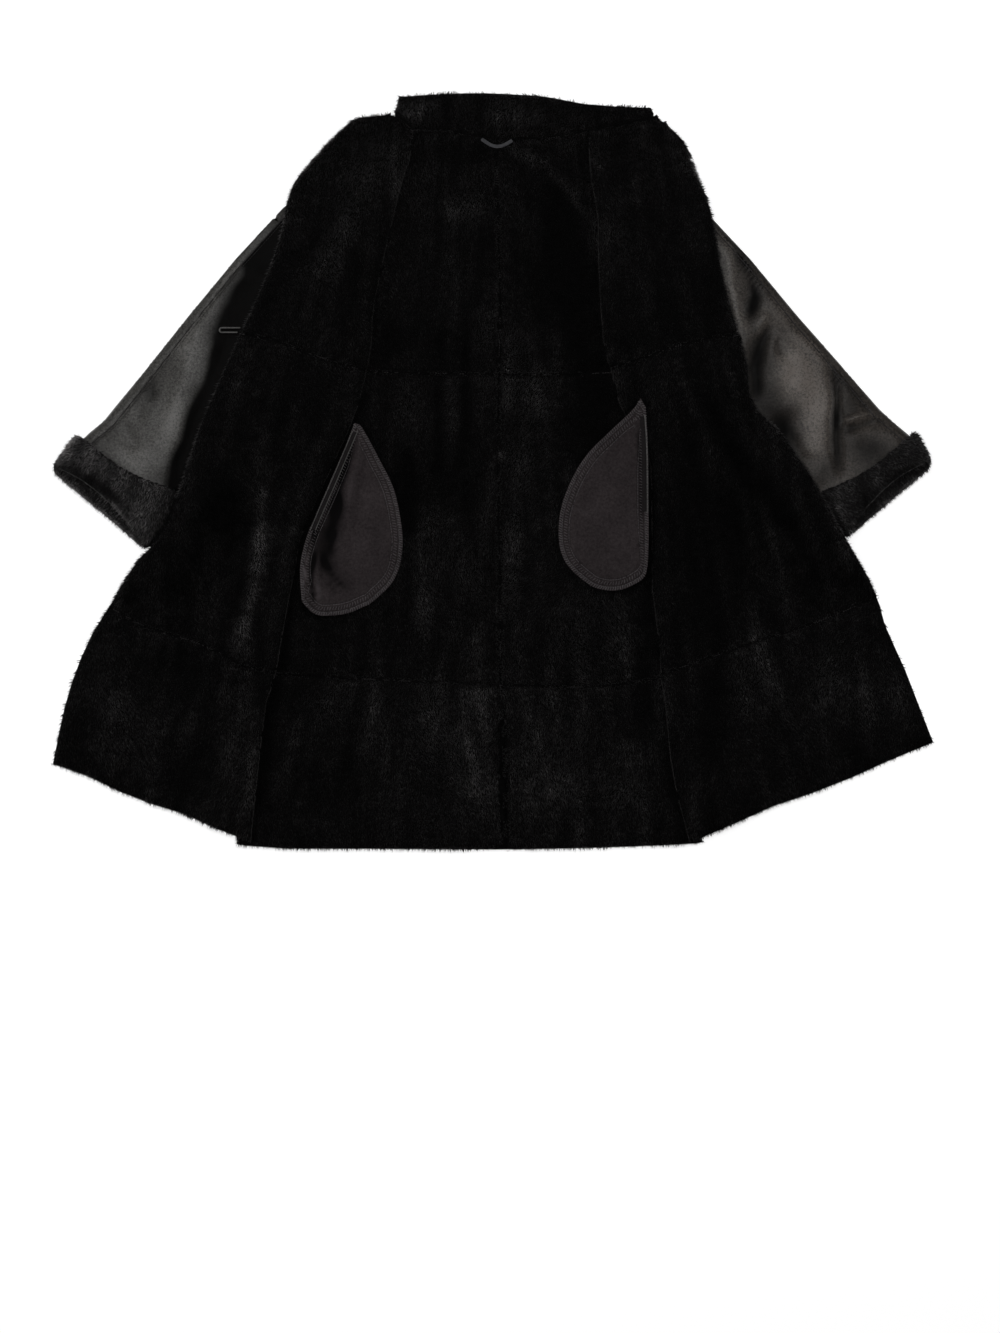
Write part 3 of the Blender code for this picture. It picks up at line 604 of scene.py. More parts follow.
def squareUp(bm, around, look):
    # bring the rim to an even inset from the cut edge, or just past a seam
    moves = []
    bm.normal_update()
    for vert in bm.verts:
        move = Vector((0, 0, 0))
        snap = look["snap"] if abs(vert.normal.z) > 0.8 else max(look["snap"], wallSnap)
        for depth, way, gap in around.edges(vert.co, look["edgeZone"]):
            inset = look["freeInset"] if gap is None else look["sewnInset"] - gap / 2
            past = max(0.0, depth - snap)
            wanted = inset + past * (look["edgeZone"] - inset) / (look["edgeZone"] - snap)
            move += way * (depth - wanted)
        moves.append((vert, move))
    for vert, move in moves:
        vert.co += move


def patchTone(spot, patches):
    # painted sheen and shade in patches, on the pile where its nap lies otherwise and on the sleeves
    total = 0.0
    for x, y, wide, tall, amount in patches:
        away = math.hypot((spot.x - x) / wide, (spot.y - y) / tall)
        total += amount * math.exp(-away * away)
    return total


def mouthLine(mouth):
    # the start of a cuff's mouth line, its span and direction, and the way out past it
    start = Vector(mouth[:2])
    span = Vector(mouth[2:]) - start
    along = span.normalized()
    return start, span, along, Vector((along.y, -along.x))


def pastMouth(spot, mouth):
    start, _, _, out = mouthLine(mouth)
    return (spot.xy - start).dot(out)


def strokeAt(spot):
    # long soft strokes, left by a hand that has passed over the pile from neck to hem
    drift = 0.010 * noiseAt(spot, 5, 21)
    across = math.atan2(spot.x, 1.6 - spot.y) + drift
    along = math.hypot(spot.x, 1.6 - spot.y)
    return noise.noise(Vector((along * 9, across * 95, 8)))


groundLook = {"full": 0.006, "bareSewn": 0.0030, "bareFree": 0.0048, "nearReach": 0.008,
              "mottle": [(0.5, 9, 3), (0.6, 24, 2), (0.8, 70, 4)], "mostDown": 0.6,
              "shadeAt": ((0.006, 0), (-0.006, 0), (0, 0.006), (0, -0.006)),
              "cuffHollow": 0.0225, "cuffReach": 0.034}


def pileTone(spot, foldLightShade, look):
    # the tufts' tone away from any edge: painted sheen and shade in patches and along folds, with
    # random mottle and strokes
    level = 2.0 * patchTone(spot, look["patches"]) + 1.7 * foldLightShade
    for amount, scale, shift in groundLook["mottle"]:
        level += amount * noiseAt(spot, scale, look["seed"] + shift)
    level += 1.6 * strokeAt(spot)
    return look["tone"] + look["contrast"] * level


def markGround(bm, around, look):
    # sink and fold the pile's floor, and say how the tufts grow on it and their tone, with its
    # painted highlight and shade
    for layer in ("grow", "long", "tone"):
        bm.verts.layers.float.new(layer)
    nap = bm.verts.layers.float_vector.new("nap")
    grow, long, tone = [bm.verts.layers.float[layer] for layer in ("grow", "long", "tone")]
    seed = look["seed"]
    own = BVHTree.FromBMesh(bm) if look["ownCover"] else None
    moves = []
    for vert in bm.verts:
        spot = vert.co.copy()
        normal = vert.normal.copy()
        depth, way, sewn = around.edge(spot)
        if "mouth" in look:
            depth, sewn = 1.0, False
        inward = way * min(depth - 0.0010, 0.0) if sewn else Vector((0, 0, 0))
        thick = around.thickness(spot + inward - normal * look["puff"])
        share = min(thick / groundLook["full"], 1.0)
        above = spot + normal * 0.0016 + up * 0.0006
        hidden = around.covered(above)
        if own is not None and not hidden:
            hidden = own.ray_cast(above, up, coverReach)[0] is not None
        folded, foldLightShade = foldAt(spot, look["creases"])
        slow = noiseAt(spot, 14, seed)
        quick = noiseAt(spot, 45, seed)
        rise = 1.3 * folded + look["undulate"] * (slow + 0.6 * quick)
        near = clamp(1 - depth / groundLook["nearReach"])
        if sewn:
            rise -= 0.0012 * near
        if hidden:
            rise = min(rise, 0.0)
        down = 0.0 if hidden else look["sink"] * max(normal.z, 0.0)
        moves.append((vert, up * max((rise - down) * share, -groundLook["mostDown"] * thick)))
        bald = hidden or spot.z < groundLook["bareSewn" if sewn else "bareFree"]
        vert[grow] = 0.0 if bald else clamp((share - 0.15) * 2.4)
        vert[long] = 1.0 - (0.5 * near if sewn else 0.0)
        level = pileTone(spot, foldLightShade, look)
        # painted shadow on the pile beside a piece that lies over it, such as a front's edge or a
        # pocket bag
        if not hidden and not sewn:
            shaded = sum(around.covered(above + Vector((x, y, 0))) for x, y in groundLook["shadeAt"])
            level -= 1.6 * min(shaded, 2)
        outward = 0.75
        if sewn:
            outward = -0.8
            # painted highlight on the pile that stands up a few millimetres from the seam; the pile is
            # darker right at the seam
            puff = 0.6 + noiseAt(spot, 90, seed + 9)
            level += 1.7 * look["rim"] * puff * math.exp(-((depth - 0.0045) / 0.0024) ** 2)
            level -= 2.0 * max(1 - depth / 0.003, 0.0)
        elif way.x * look["inner"] > 0.3:
            outward = -0.2 + 1.2 * noiseAt(spot, 60, seed + 6)
        else:
            # painted highlight along a free outer edge
            level += 3.2 * look["rim"] * max(1 - depth / 0.005, 0.0)
        # inside a cuff's mouth: painted highlight at the lip and painted shade deeper in the hollow,
        # with shorter tufts
        if "mouth" in look and spot.z < groundLook["cuffHollow"]:
            inside = -pastMouth(spot, look["mouth"])
            if inside < groundLook["cuffReach"]:
                deep = clamp((inside - 0.004) / 0.004)
                vert[long] = 0.85 - 0.5 * deep
                level += 1.0 - 4.0 * deep
        vert[tone] = level
        vert[nap] = napAt(spot, look) + way * near * outward
    for vert, move in moves:
        vert.co += move
    bm.normal_update()


def wallLines(name):
    # the bottom edges of a node's walls: both ends, the way out and whether the wall is sewn
    around = Neighbours(name)
    bm = bmeshOf(name)
    bm.normal_update()
    lines = []
    for edge in bm.edges:
        if len(edge.link_faces) == 2:
            wall, floor = sorted(edge.link_faces, key=lambda face: abs(face.normal.z))
            if abs(wall.normal.z) < wallSlope and floor.normal.z < -wallSlope:
                centre = sum((vert.co for vert in edge.verts), Vector()) / 2
                _, way, sewn = around.edge(centre)
                lines.append((edge.verts[0].co.copy(), edge.verts[1].co.copy(), way, sewn))
    bm.free()
    return lines


drapes = {}
drapeLook = {"reach": 0.060, "neckFrom": 0.42, "neckHalf": 0.19, "clear": 0.0012, "rounds": 14}


def drape(name, bm, around, inner):
    # let a front's free inner edge and its neckline sink on to whatever lies below them
    drops = {}
    lines = [(start, end) for start, end, way, sewn in wallLines(name)
             if (not sewn and way.x * inner > 0.3)
             or (start.y > drapeLook["neckFrom"] and abs(start.x) < drapeLook["neckHalf"])]
    tree = KDTree(len(lines) * 2)
    for number, (start, end) in enumerate(lines):
        tree.insert((start.x, start.y, 0), 2 * number)
        tree.insert(((start.x + end.x) / 2, (start.y + end.y) / 2, 0), 2 * number + 1)
    tree.balance()
    for vert in bm.verts:
        x, y = vert.co.xy
        share = 1 - tree.find((x, y, 0))[2] / drapeLook["reach"]
        drops[vert] = 0.0
        if share > 0:
            under = around.body.ray_cast(Vector((x, y, -0.01)), up, 0.1)[0]
            if under is None:
                under = around.body.find_nearest(vert.co)[0]
            below = around.others.ray_cast(under - up * 0.0003, -up, 0.1)[0]
            gap = under.z - (below.z if below else 0.0)
            drops[vert] = max(gap - drapeLook["clear"], 0.0) * smoothStep(1.6 * share)
    for _ in range(drapeLook["rounds"]):
        drops = {vert: 0.5 * drop + 0.5 * sum(drops[edge.other_vert(vert)] for edge in vert.link_edges)
                 / len(vert.link_edges) for vert, drop in drops.items()}
    sunk = KDTree(len(drops))
    for number, (vert, drop) in enumerate(drops.items()):
        sunk.insert((vert.co.x, vert.co.y, 0), number)
        vert.co.z = max(vert.co.z - drop, 0.0)
    sunk.balance()
    drapes[name] = (sunk, list(drops.values()))


def sunkAt(name, spot):
    if name not in drapes:
        return spot
    sunk, drops = drapes[name]
    return spot - up * drops[sunk.find((spot.x, spot.y, 0))[1]]


def finishPiece(thing, node=None):
    if node:
        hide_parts(node)
    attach(thing, "root")
    return thing


def dressFur(name, settings):
    # a fur node's body, in pile above and nappa below, and the tufts on it
    look = {**furBase, **settings}
    around = Neighbours(name)
    bm = evenMesh(name, bmeshOf(name), look["voxel"])
    soften(bm, 1)
    if look["edgeZone"]:
        squareUp(bm, around, look)
    if "mouth" in look:
        foldLip(bm, look["mouth"])
    bm.normal_update()
    for vert in bm.verts:
        vert.co += vert.normal * look["puff"]
        vert.co.z = max(vert.co.z, 0.0)
    markGround(bm, around, look)
    if look["inner"]:
        drape(name, bm, around, look["inner"])
        bm.normal_update()
    ground = bm.copy()
    grow = ground.verts.layers.float["grow"]
    bald = [face for face in ground.faces
            if max(vert[grow] for vert in face.verts) <= 0.0 or face.normal.z < -0.35]
    bmesh.ops.delete(ground, geom=bald, context="FACES")
    for face in bm.faces:
        face.material_index = 1 if face.normal.z < -0.6 else 0
    formed = BVHTree.FromBMesh(bm)
    body = linkForm(name + "_skin", bm, look["finish"] or fur, nappa)
    pile = plantTufts(name, ground)
    finishPiece(body, name)
    finishPiece(pile)
    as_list(look["restsOn"])
    print(f"{name}: skin {len(body.data.polygons) * 2} triangles, pile {len(pile.data.polygons)}")
    return formed


# the back's and fronts' patches are painted sheen and shade; the tones of their folds paint highlight
# on ridges and shade in troughs and in dark bands beside the fronts' edges
backPatches = lightShadePatches((20, 110, 42, 34, 0.9), (-120, 80, 35, 35, 0.25), (-60, 100, 16, 40, 0.1),
                      (20, -400, 220, 140, 0.45), (-160, -230, 60, 40, 0.3), (10, 23, 6, 7, 2.0),
                      (130, -220, 60, 50, 0.3), (-50, 445, 80, 16, -0.7))
backCreases = [
    fold(3.2, 8, (-4, 462), (40, 444), (74, 428), (108, 392), (133, 349), tone=1.7),
    fold(-3, 26, (90, 444), (92, 341), (106, 275), (126, 171), (148, 100), (122, 40), (110, 0),
         tone=-2.8),
    fold(0, 40, (60, 340), (62, 180), tone=-0.6),
    fold(1.6, 18, (-80, 364), (-4, 368), tone=0.9),
    fold(-1.6, 10, (-70, 230), (-76, 80), (-78, -70), tone=-0.8),
    fold(2.2, 14, (-96, -50), (-95, -246), tone=0.8),
    fold(-2, 8, (-36, 260), (-38, 80), (-40, -120), tone=-1.3),
    fold(2.2, 14, (-56, 240), (-58, 60), tone=-0.1),
    fold(1, 26, (35, 68), (36, -160), tone=0.9),
    fold(1.4, 28, (-22, -200), (-24, -500), tone=0.6),
    fold(-2, 18, (-280, -170), (-315, -320), (-331, -485), tone=-2.3),
    fold(-1.6, 22, (-127, 211), (-174, 132), tone=-0.9),
    fold(-1.2, 12, (-122, 40), (-113, -23), (-120, -100), tone=-2.6),
    fold(-1.2, 12, (213, -150), (216, -380), tone=-1.2),
    fold(1.2, 20, (186, -370), (184, -490), tone=0.7),
    fold(1.6, 20, (55, -330), (72, -500), tone=0.3),
    fold(-1.4, 14, (-190, -280), (-225, -480), tone=-0.5)]
frontPatches = {
    "left": lightShadePatches((-180, 405, 35, 40, 0.6), (-135, 405, 10, 80, 0.5), (-381, -50, 24, 50, -1.2),
                    (-427, -271, 30, 30, -0.8), (-525, -323, 45, 35, 0.6), (-375, -404, 30, 60, 0.6),
                    (-352, -240, 16, 30, 0.8), (-300, -80, 30, 60, 0.3)),
    "right": lightShadePatches((133, 435, 20, 16, 1.0), (273, 430, 20, 30, 0.6), (290, -89, 50, 110, -0.9),
                     (508, -325, 75, 60, 0.65), (490, -130, 20, 40, 0.6), (240, 250, 60, 70, -0.3))}
frontCreases = {
    "left": [
        fold(-3.5, 10, (-240, 345), (-274, 282), tone=-0.7),
        fold(2.6, 24, (-196, 370), (-225, 310), (-258, 250), tone=0.8),
        fold(1.8, 9, (-322, -10), (-330, -110), tone=1.0),
        fold(3.4, 12, (-316, -60), (-335, -160), (-352, -225), (-365, -262), tone=1.4),
        fold(-2.2, 10, (-344, -130), (-372, -220), tone=-0.5),
        fold(2, 18, (-400, -20), (-430, -120), tone=0.2),
        fold(2.2, 20, (-440, -270), (-480, -400), tone=0.3),
        fold(-2, 16, (-390, -300), (-400, -440), tone=-0.4),
        fold(0, 12, (-330, -300), (-342, -500), tone=1.0)],
    "right": [
        fold(-3, 14, (285, 125), (342, 15), (406, -62), (445, -116), tone=-1.7),
        fold(3.4, 9, (318, 43), (346, -35), (366, -75), tone=0.3),
        fold(-3.4, 9, (361, 93), (364, 48), tone=-0.6),
        fold(2, 16, (200, 360), (220, 220), tone=0.3),
        fold(2.2, 28, (360, -200), (372, -360), tone=0.8),
        fold(-2, 18, (306, -260), (309, -410), tone=-1.0),
        fold(0, 14, (242, -60), (252, -220), tone=0.6)]}

pieceCount = 0
for side in sides:
    for tier in tiers:
        lift = {"upper": 0.0, "middle": 0.1, "hem": 0.35}[tier]
        dressFur(f"back_{tier}_{side}", {"seed": 1.0 + pieceCount, "tone": 3.75 + lift,
                                         "patches": backPatches, "creases": backCreases})
        dressFur(f"front_{tier}_{side}", {"seed": 2.0 + pieceCount, "patches": frontPatches[side],
                                          "tone": 3.6 + lift, "creases": frontCreases[side],
                                          "inner": 1.0 if side == "left" else -1.0,
                                          "restsOn": [f"back_{tier}_{side}_skin"]})
        pieceCount += 2
dressFur("collar", {"seed": 31.0, "patches": lightShadePatches((-100, 508, 40, 12, 0.2)),
                    "creases": [fold(3.4, 10, (-132, 495), (-69, 519)),
                                fold(2.4, 12, (-20, 500), (90, 496))]})


def heightOn(tree, spot):
    hit = tree.ray_cast(Vector((spot.x, spot.y, 0.2)), -up, 0.3)
    if hit[0] is None:
        hit = tree.find_nearest(Vector((spot.x, spot.y, 0.03)))
    return hit[0].z


def addDash(bm, at, along, length, width, height, tip=0.0, finish=0):
    # one stitch: a small block that lies along a line
    turn = Matrix.Rotation(math.atan2(along.y, along.x), 4, "Z")
    turn = turn @ Matrix.Rotation(tip, 4, "Y")
    size = Matrix.Diagonal((length, width, height, 1))
    made = bmesh.ops.create_cube(bm, size=1.0, matrix=Matrix.Translation(at) @ turn @ size)
    for vert in made["verts"]:
        for face in vert.link_faces:
            face.material_index = finish


def spaced(start, along, step):
    # the middles of a line's even pieces, and how long a piece is
    count = max(1, round(along.length / step))
    for k in range(count):
        yield start + along * (k + 0.5) / count, along.length / count


def scattered(start, along, count, rng):
    for k in range(count):
        yield start + along * (k + rng.random()) / count


# cuffs: the upper half of the folded end draws back, so the hollow and the lower lip show

cuffMouths = {"left": (-0.618, 0.0015, -0.481, -0.1135), "right": (0.490, -0.0975, 0.615, 0.0085)}
lipLook = {"reach": 0.036, "back": 0.019, "low": 0.0185, "high": 0.0245}
lipTrim = {"spots": 50, "steps": 90, "step": 0.0005, "top": 0.0255, "longest": 0.012,
           "thick": 0.0011}
# the cuffs' fold tones paint a band of shade along a hollow and thin lines of highlight beside it
cuffCreases = {
    "left": [fold(-3, 9, (-612, 10), (-575, -6), (-540, -26), (-512, -50), tone=-2.5),
             fold(0, 7, (-606, 30), (-575, 55), tone=0.7),
             fold(0, 4, (-590, -12), (-552, -34), (-520, -60), (-492, -92), tone=0.9)],
    "right": [fold(-3, 8, (606, 12), (566, -8), (526, -36), (500, -58), tone=-1.1),
              fold(0, 7, (592, 58), (560, 36), (500, -4), tone=0.6),
              fold(0, 4, (598, -8), (560, -28), (528, -52), (502, -80), tone=0.9)]}


def foldLip(bm, mouth, steady=False):
    # draw an end back from its mouth line: evenly, or the upper lip alone and in a bow
    start, span, along, out = mouthLine(mouth)
    back = Vector((out.x, out.y, 0)) * lipLook["back"]
    for vert in bm.verts:
        share = smoothStep(1 + pastMouth(vert.co, mouth) / lipLook["reach"])
        if steady:
            vert.co -= back * share
            continue
        share *= smoothStep((vert.co.z - lipLook["low"]) / (lipLook["high"] - lipLook["low"]))
        part = clamp((vert.co.xy - start).dot(along) / span.length)
        bow = math.sin(math.pi * (part ** 0.75 if along.y < 0 else 1 - (1 - part) ** 0.75))
        vert.co -= back * share * (0.25 + 0.75 * bow)


def trimLip(side, formed):
    # the skin's edge that shows along the upper lip
    start, span, _, out = mouthLine(cuffMouths[side])
    line = []
    for k in range(lipTrim["spots"]):
        foot = start + span * (0.07 + 0.86 * k / (lipTrim["spots"] - 1))
        for step in range(lipTrim["steps"]):
            spot = foot - out * step * lipTrim["step"]
            height = heightOn(formed, spot)
            if height > lipTrim["top"]:
                line.append(Vector((spot.x, spot.y, height)))
                break
    bm = bmesh.new()
    for here, there in zip(line, line[1:]):
        if (there - here).length < lipTrim["longest"]:
            addDash(bm, (here + there) / 2 + up * 0.0014, there - here,
                    (there - here).length + 0.0008, lipTrim["thick"], lipTrim["thick"])
    finishPiece(linkForm(f"cuff_{side}_lip", bm, cordSkin))


for side in sides:
    formed = dressFur(f"cuff_{side}", {
        "seed": 33.0, "ownCover": True, "edgeZone": 0.0, "voxel": 0.0036, "puff": 0.0014,
        "mouth": cuffMouths[side], "undulate": 0.0016, "tone": 7.7 if side == "left" else 5.7,
        "rim": 0.25, "creases": cuffCreases[side], "comb": -2.2 if side == "left" else -0.9,
        "finish": cuffFur})
    trimLip(side, formed)


# sleeves: nappa outside, with soft hollows and ridges and topstitching beside the overarm seam

sleeveBase = {"voxel": 0.004, "snap": 0.0034, "edgeZone": 0.010, "freeInset": 0.0006,
              "sewnInset": -0.0018, "undulate": 0.0014, "wearSheenShade": 0.54, "lining": 0.0092,
              "top": 0.013}
sleeveSheenShade = {
    "left": lightShadePatches((-425, 185, 20, 40, 0.34), (-450, 70, 22, 50, 0.42), (-397, 245, 14, 30, 0.26),
                    (-335, 345, 30, 45, -0.45), (-500, 76, 24, 34, 0.14), (-478, 111, 15, 20, -0.14),
                    (-372, 290, 12, 30, -0.16), (-500, 20, 26, 26, 0.34)),
    "right": lightShadePatches((421, 138, 20, 34, 0.72), (450, 95, 18, 40, 0.48), (450, 37, 16, 28, 0.22),
                     (510, 110, 24, 40, -0.20), (466, 2, 20, 20, -0.22), (526, 28, 34, 26, -0.28),
                     (518, 62, 14, 10, 0.14), (405, 60, 24, 44, -0.40), (374, 120, 18, 55, -0.26),
                     (395, 270, 20, 40, -0.08), (352, 330, 12, 30, -0.22))}
# the sleeves' fold tones paint shade in the hollows, darkest in the strip beside the front's edge, and
# sheen on the ridges
sleeveCreases = {
    "left": [
        fold(-6.5, 22, (-300, 380), (-312, 345), (-323, 310), (-340, 260), (-364, 200), (-384, 142),
             tone=-3.8),
        fold(-6, 13.5, (-364, 200), (-386, 141), (-409, 82), (-430, 22), (-444, -30), (-452, -66),
             tone=-4.4),
        fold(0, 22, (-275, 385), (-300, 310), (-326, 245), (-350, 190), (-384, 100), (-414, 20),
             (-440, -60), tone=-3.4),
        fold(1.6, 12, (-398, 245), (-420, 190), (-436, 120), (-460, 40)),
        fold(-2, 9, (-484, 124), (-474, 98), tone=-0.4),
        fold(-1.6, 10, (-516, 70), (-498, 26)),
        fold(1.4, 6, (-444, 180), (-428, 168)),
        fold(-1.4, 7, (-500, 92), (-488, 74))],
    "right": [
        fold(2, 7.5, (319, 345), (330, 296), (333, 260), (344, 215), (357, 180), tone=1.5),
        fold(-4.2, 8.5, (341, 322), (360, 275), (367, 244), (356, 205), tone=-2.0),
        fold(1.8, 6, (382, 222), (368, 184), tone=1.0),
        fold(-4.6, 13, (388, 208), (374, 178), (364, 145), (368, 95), tone=-1.3),
        fold(2, 7, (411, 197), (432, 185), (452, 172), (470, 152), tone=1.0),
        fold(-5.4, 6.6, (475, 158), (480, 100), (478, 45), (484, -10), tone=-1.6),
        fold(0, 16, (488, 150), (492, 90), (490, 30), tone=-0.6),
        fold(2.4, 14, (512, 100), (500, 24), tone=0.0),
        fold(2.2, 5, (484, 67), (504, 74), (525, 80), (549, 84), tone=0.9),
        fold(-2.2, 5, (490, 56), (527, 67), (552, 70), tone=-0.9),
        fold(-2, 6, (424, 215), (452, 190), (468, 172), tone=-1.1),
        fold(-3.6, 17, (392, 80), (420, 35), (440, 0), tone=-0.6),
        fold(-1.8, 6, (398, 190), (402, 160), tone=-0.7),
        fold(1.2, 10, (392, 250), (414, 206), tone=0.3)]}


sleeveHalves = {("front", "left"): {}, ("front", "right"): {"sewnInset": -0.0070},
                ("back", "left"): {"voxel": 0.0050, "wearSheenShade": 0.64},
                ("back", "right"): {"voxel": 0.0055, "wearSheenShade": 0.42}}


def dressSleeve(half, side):
    name = f"sleeve_{half}_{side}"
    look = {**sleeveBase, **sleeveHalves[half, side]}
    around = Neighbours(name)
    bm = evenMesh(name, bmeshOf(name), look["voxel"])
    soften(bm, 2)
    squareUp(bm, around, look)
    foldLip(bm, cuffMouths[side], True)
    bm.normal_update()
    wearSheenShade = bm.verts.layers.float.new("wearSheenShade")
    moves = []
    for vert in bm.verts:
        spot = vert.co.copy()
        folded, foldLightShade = foldAt(spot, sleeveCreases[side])
        # on the front half wearSheenShade paints shade in the hollows and beside the front's edge and
        # sheen on ridges and satin patches; on the back half it falls a little towards the top
        vert[wearSheenShade] = look["wearSheenShade"]
        if half == "front":
            vert[wearSheenShade] += foldLightShade * 0.27 + patchTone(spot, sleeveSheenShade[side])
        else:
            vert[wearSheenShade] -= 0.14 * smoothStep((spot.y - 0.22) / 0.16)
        if spot.z > look["lining"] and vert.normal.z < 0 and half == "front":
            moves.append((vert, up * min(folded, 0.0) * 0.5))
        elif spot.z > look["top"] and vert.normal.z > 0.2:
            rise = 1.05 * folded
            rise += look["undulate"] * noiseAt(spot, 16, 3)
            rise += 0.4 * look["undulate"] * noiseAt(spot, 50, 9)
            if around.covered(spot + up * 0.0006):
                rise = min(rise, 0.0)
            moves.append((vert, up * rise * min((spot.z - look["top"]) / 0.003, 1.0)))
    for vert, move in moves:
        vert.co += move
    oneFinish(bm)
    formed = BVHTree.FromBMesh(bm)
    body = linkForm(name + "_skin", bm, sleeveNappa)
    finishPiece(body, name)
    parts = [topstitch(name, formed, look, side)] if half == "front" else []
    print(f"{name}: {len(body.data.polygons) * 2} triangles")


def topstitch(name, formed, look, side):
    # stitches that follow the overarm seam, on the front half's side of it
    outward = Vector((-0.78 if side == "left" else 0.78, 0.62, 0))
    bm = bmesh.new()
    for start, end, way, sewn in wallLines(name):
        along = end - start
        if sewn and way.dot(outward) > 0.8:
            for spot, _ in spaced(start, along, 0.0034):
                for inset, long, finish in ((0.0034, 0.0020, 0), (0.0, 0.0036, 1)):
                    edge = look["sewnInset"] if side == "left" else look["sewnInset"] + 0.0032
                    at = spot - way * (edge + inset)
                    at.z = heightOn(formed, at) + 0.0003
                    addDash(bm, at, along, long, 0.0007 + 0.0007 * finish, 0.0006, finish=finish)
    return finishPiece(linkForm(name + "_topstitch", bm, seamThread, darkThread))


for side in sides:
    for half in ("back", "front"):
        dressSleeve(half, side)


# pocket bags: two layers of cotton with an overlocked edge and two stitched lines inside it

bagLook = {"steps": {"under": 3, "over": 7}, "inner": 18, "thick": 0.0010, "groove": 0.0011,
           "rings": [0.0, 0.0012, 0.0026, 0.0042, 0.0050, 0.0058, 0.0080, 0.0110, 0.0142, 0.0150,
                     0.0158, 0.0180],
           "lines": (0.005, 0.015), "lineHalf": 0.0009, "border": 0.0185, "overlock": 0.0048,
           "middleInset": 0.05, "pucker": 0.0010, "sharp": 0.7,
           "ticks": [(0.0024, 0.0034, 0.0046), (0.0100, 0.0040, 0.0050)]}
# the bags' fold tones paint shade deep in the folds and highlight on their ridges
bagCreases = {
    "left": [
        fold(-3.4, 8, (-198, 56), (-206, 14), (-216, -30), (-221, -72), tone=-0.72),
        fold(-3, 11, (-214, -30), (-222, -74), (-232, -104), (-240, -142), tone=-0.42),
        fold(-1.2, 6, (-218, -80), (-226, -108), (-222, -122), tone=-0.34),
        fold(0, 11, (-236, -128), (-216, -152), (-190, -168), tone=-0.26),
        fold(0, 26, (-230, -20), (-242, -100), (-238, -160), tone=-0.34),
        fold(2.8, 6, (-186, 30), (-196, -10), (-203, -60), (-199, -94), tone=0.10),
        fold(2.2, 5, (-216, 0), (-232, -45), (-238, -85), tone=0.12),
        fold(-2.6, 3.4, (-225, 0), (-246, -60), (-252, -110), tone=-0.62),
        fold(-2.4, 3.4, (-248, -108), (-254, -150), (-250, -190), tone=-0.65),
        fold(1.6, 3, (-243, -114), (-246, -150), (-241, -184), tone=0.30),
        fold(2.2, 3.4, (-262, -118), (-264, -165), tone=0.45),
        fold(1.4, 2.2, (-262, -112), (-256, -128), tone=0.30),
        fold(-1.4, 2.2, (-266, -124), (-258, -142), tone=-0.45),
        fold(1.4, 2.2, (-266, -134), (-257, -154), tone=0.30),
        fold(-1.4, 2.2, (-266, -146), (-256, -166), tone=-0.45),
        fold(-2.4, 4, (-240, -120), (-222, -150), (-204, -166), tone=-0.55),
        fold(1.8, 4, (-234, -140), (-216, -165), (-200, -178), tone=0.08),
        fold(-1.8, 3, (-232, -150), (-220, -174), tone=-0.30),
        fold(1.2, 12, (-170, -20), (-185, -120), tone=0.04),
        fold(-1, 12, (-150, -50), (-162, -130), tone=-0.06)],
    "right": [
        fold(1.2, 12, (200, 60), (150, -90), tone=0.03),
        fold(-1.2, 10, (170, 30), (120, -60), tone=-0.08),
        fold(1.4, 10, (205, -60), (150, -130), tone=0.03),
        fold(1.8, 3, (116, -51), (132, -63), tone=0.1),
        fold(-2, 4, (216, -92), (200, -110), tone=-0.2),
        fold(-2.2, 3, (202, 70), (206, 0), (208, -96), tone=-0.50),
        fold(-1.2, 10, (180, -20), (186, -110), tone=-0.08)]}


def rimOf(name):
    # the plan outline of a node, corner by corner round its middle
    mesh = cadNodes[name].data
    used = {index for polygon in mesh.polygons if abs(polygon.normal.z) < wallSlope
            for index in polygon.vertices}
    spots = [mesh.vertices[index].co.xy for index in used]
    middle = sum(spots, Vector((0, 0))) / len(spots)
    spots.sort(key=lambda spot: math.atan2(spot.y - middle.y, spot.x - middle.x))
    corners = []
    for spot in spots:
        if not corners or (spot - corners[-1]).length > 0.003:
            corners.append(spot)
    if (corners[0] - corners[-1]).length < 0.003:
        corners.pop()
    return corners, middle


def roundOff(corners, steps, sharp):
    # a smooth closed line through the corners, which turns sharply only where they do
    count = len(corners)
    ways = []
    for i in range(count):
        before = (corners[i] - corners[i - 1]).normalized()
        after = (corners[(i + 1) % count] - corners[i]).normalized()
        turn = math.acos(clamp(before.dot(after), -1.0))
        ways.append((after, before) if turn > sharp else ((before + after).normalized(),) * 2)
    line = []
    for i in range(count):
        start = corners[i]
        end = corners[(i + 1) % count]
        reach = (end - start).length / 3
        first = start + ways[i][0] * reach
        second = end - ways[(i + 1) % count][1] * reach
        for k in range(steps):
            t = k / steps
            line.append(start * (1 - t) ** 3 + first * 3 * t * (1 - t) ** 2
                        + second * 3 * t * t * (1 - t) + end * t ** 3)
    return line


def insetLine(line, middle, inset):
    # the line drawn in towards its middle by an even distance
    drawn = []
    count = len(line)
    for i, spot in enumerate(line):
        along = (line[(i + 1) % count] - line[i - 1]).normalized()
        inward = Vector((-along.y, along.x))
        to = middle - spot
        lean = max(abs(inward.dot(to.normalized())), 0.42)
        drawn.append(spot + to.normalized() * min(inset / lean, to.length * 0.9))
    return drawn


def resample(line, spacing):
    # evenly spaced places along a closed line and its direction there
    points = line + [line[0]]
    left = spacing / 2
    found = []
    for here, there in zip(points, points[1:]):
        long = (there - here).length
        while left < long:
            found.append((here.lerp(there, left / long), (there - here).normalized()))
            left += spacing
        left -= long
    return found


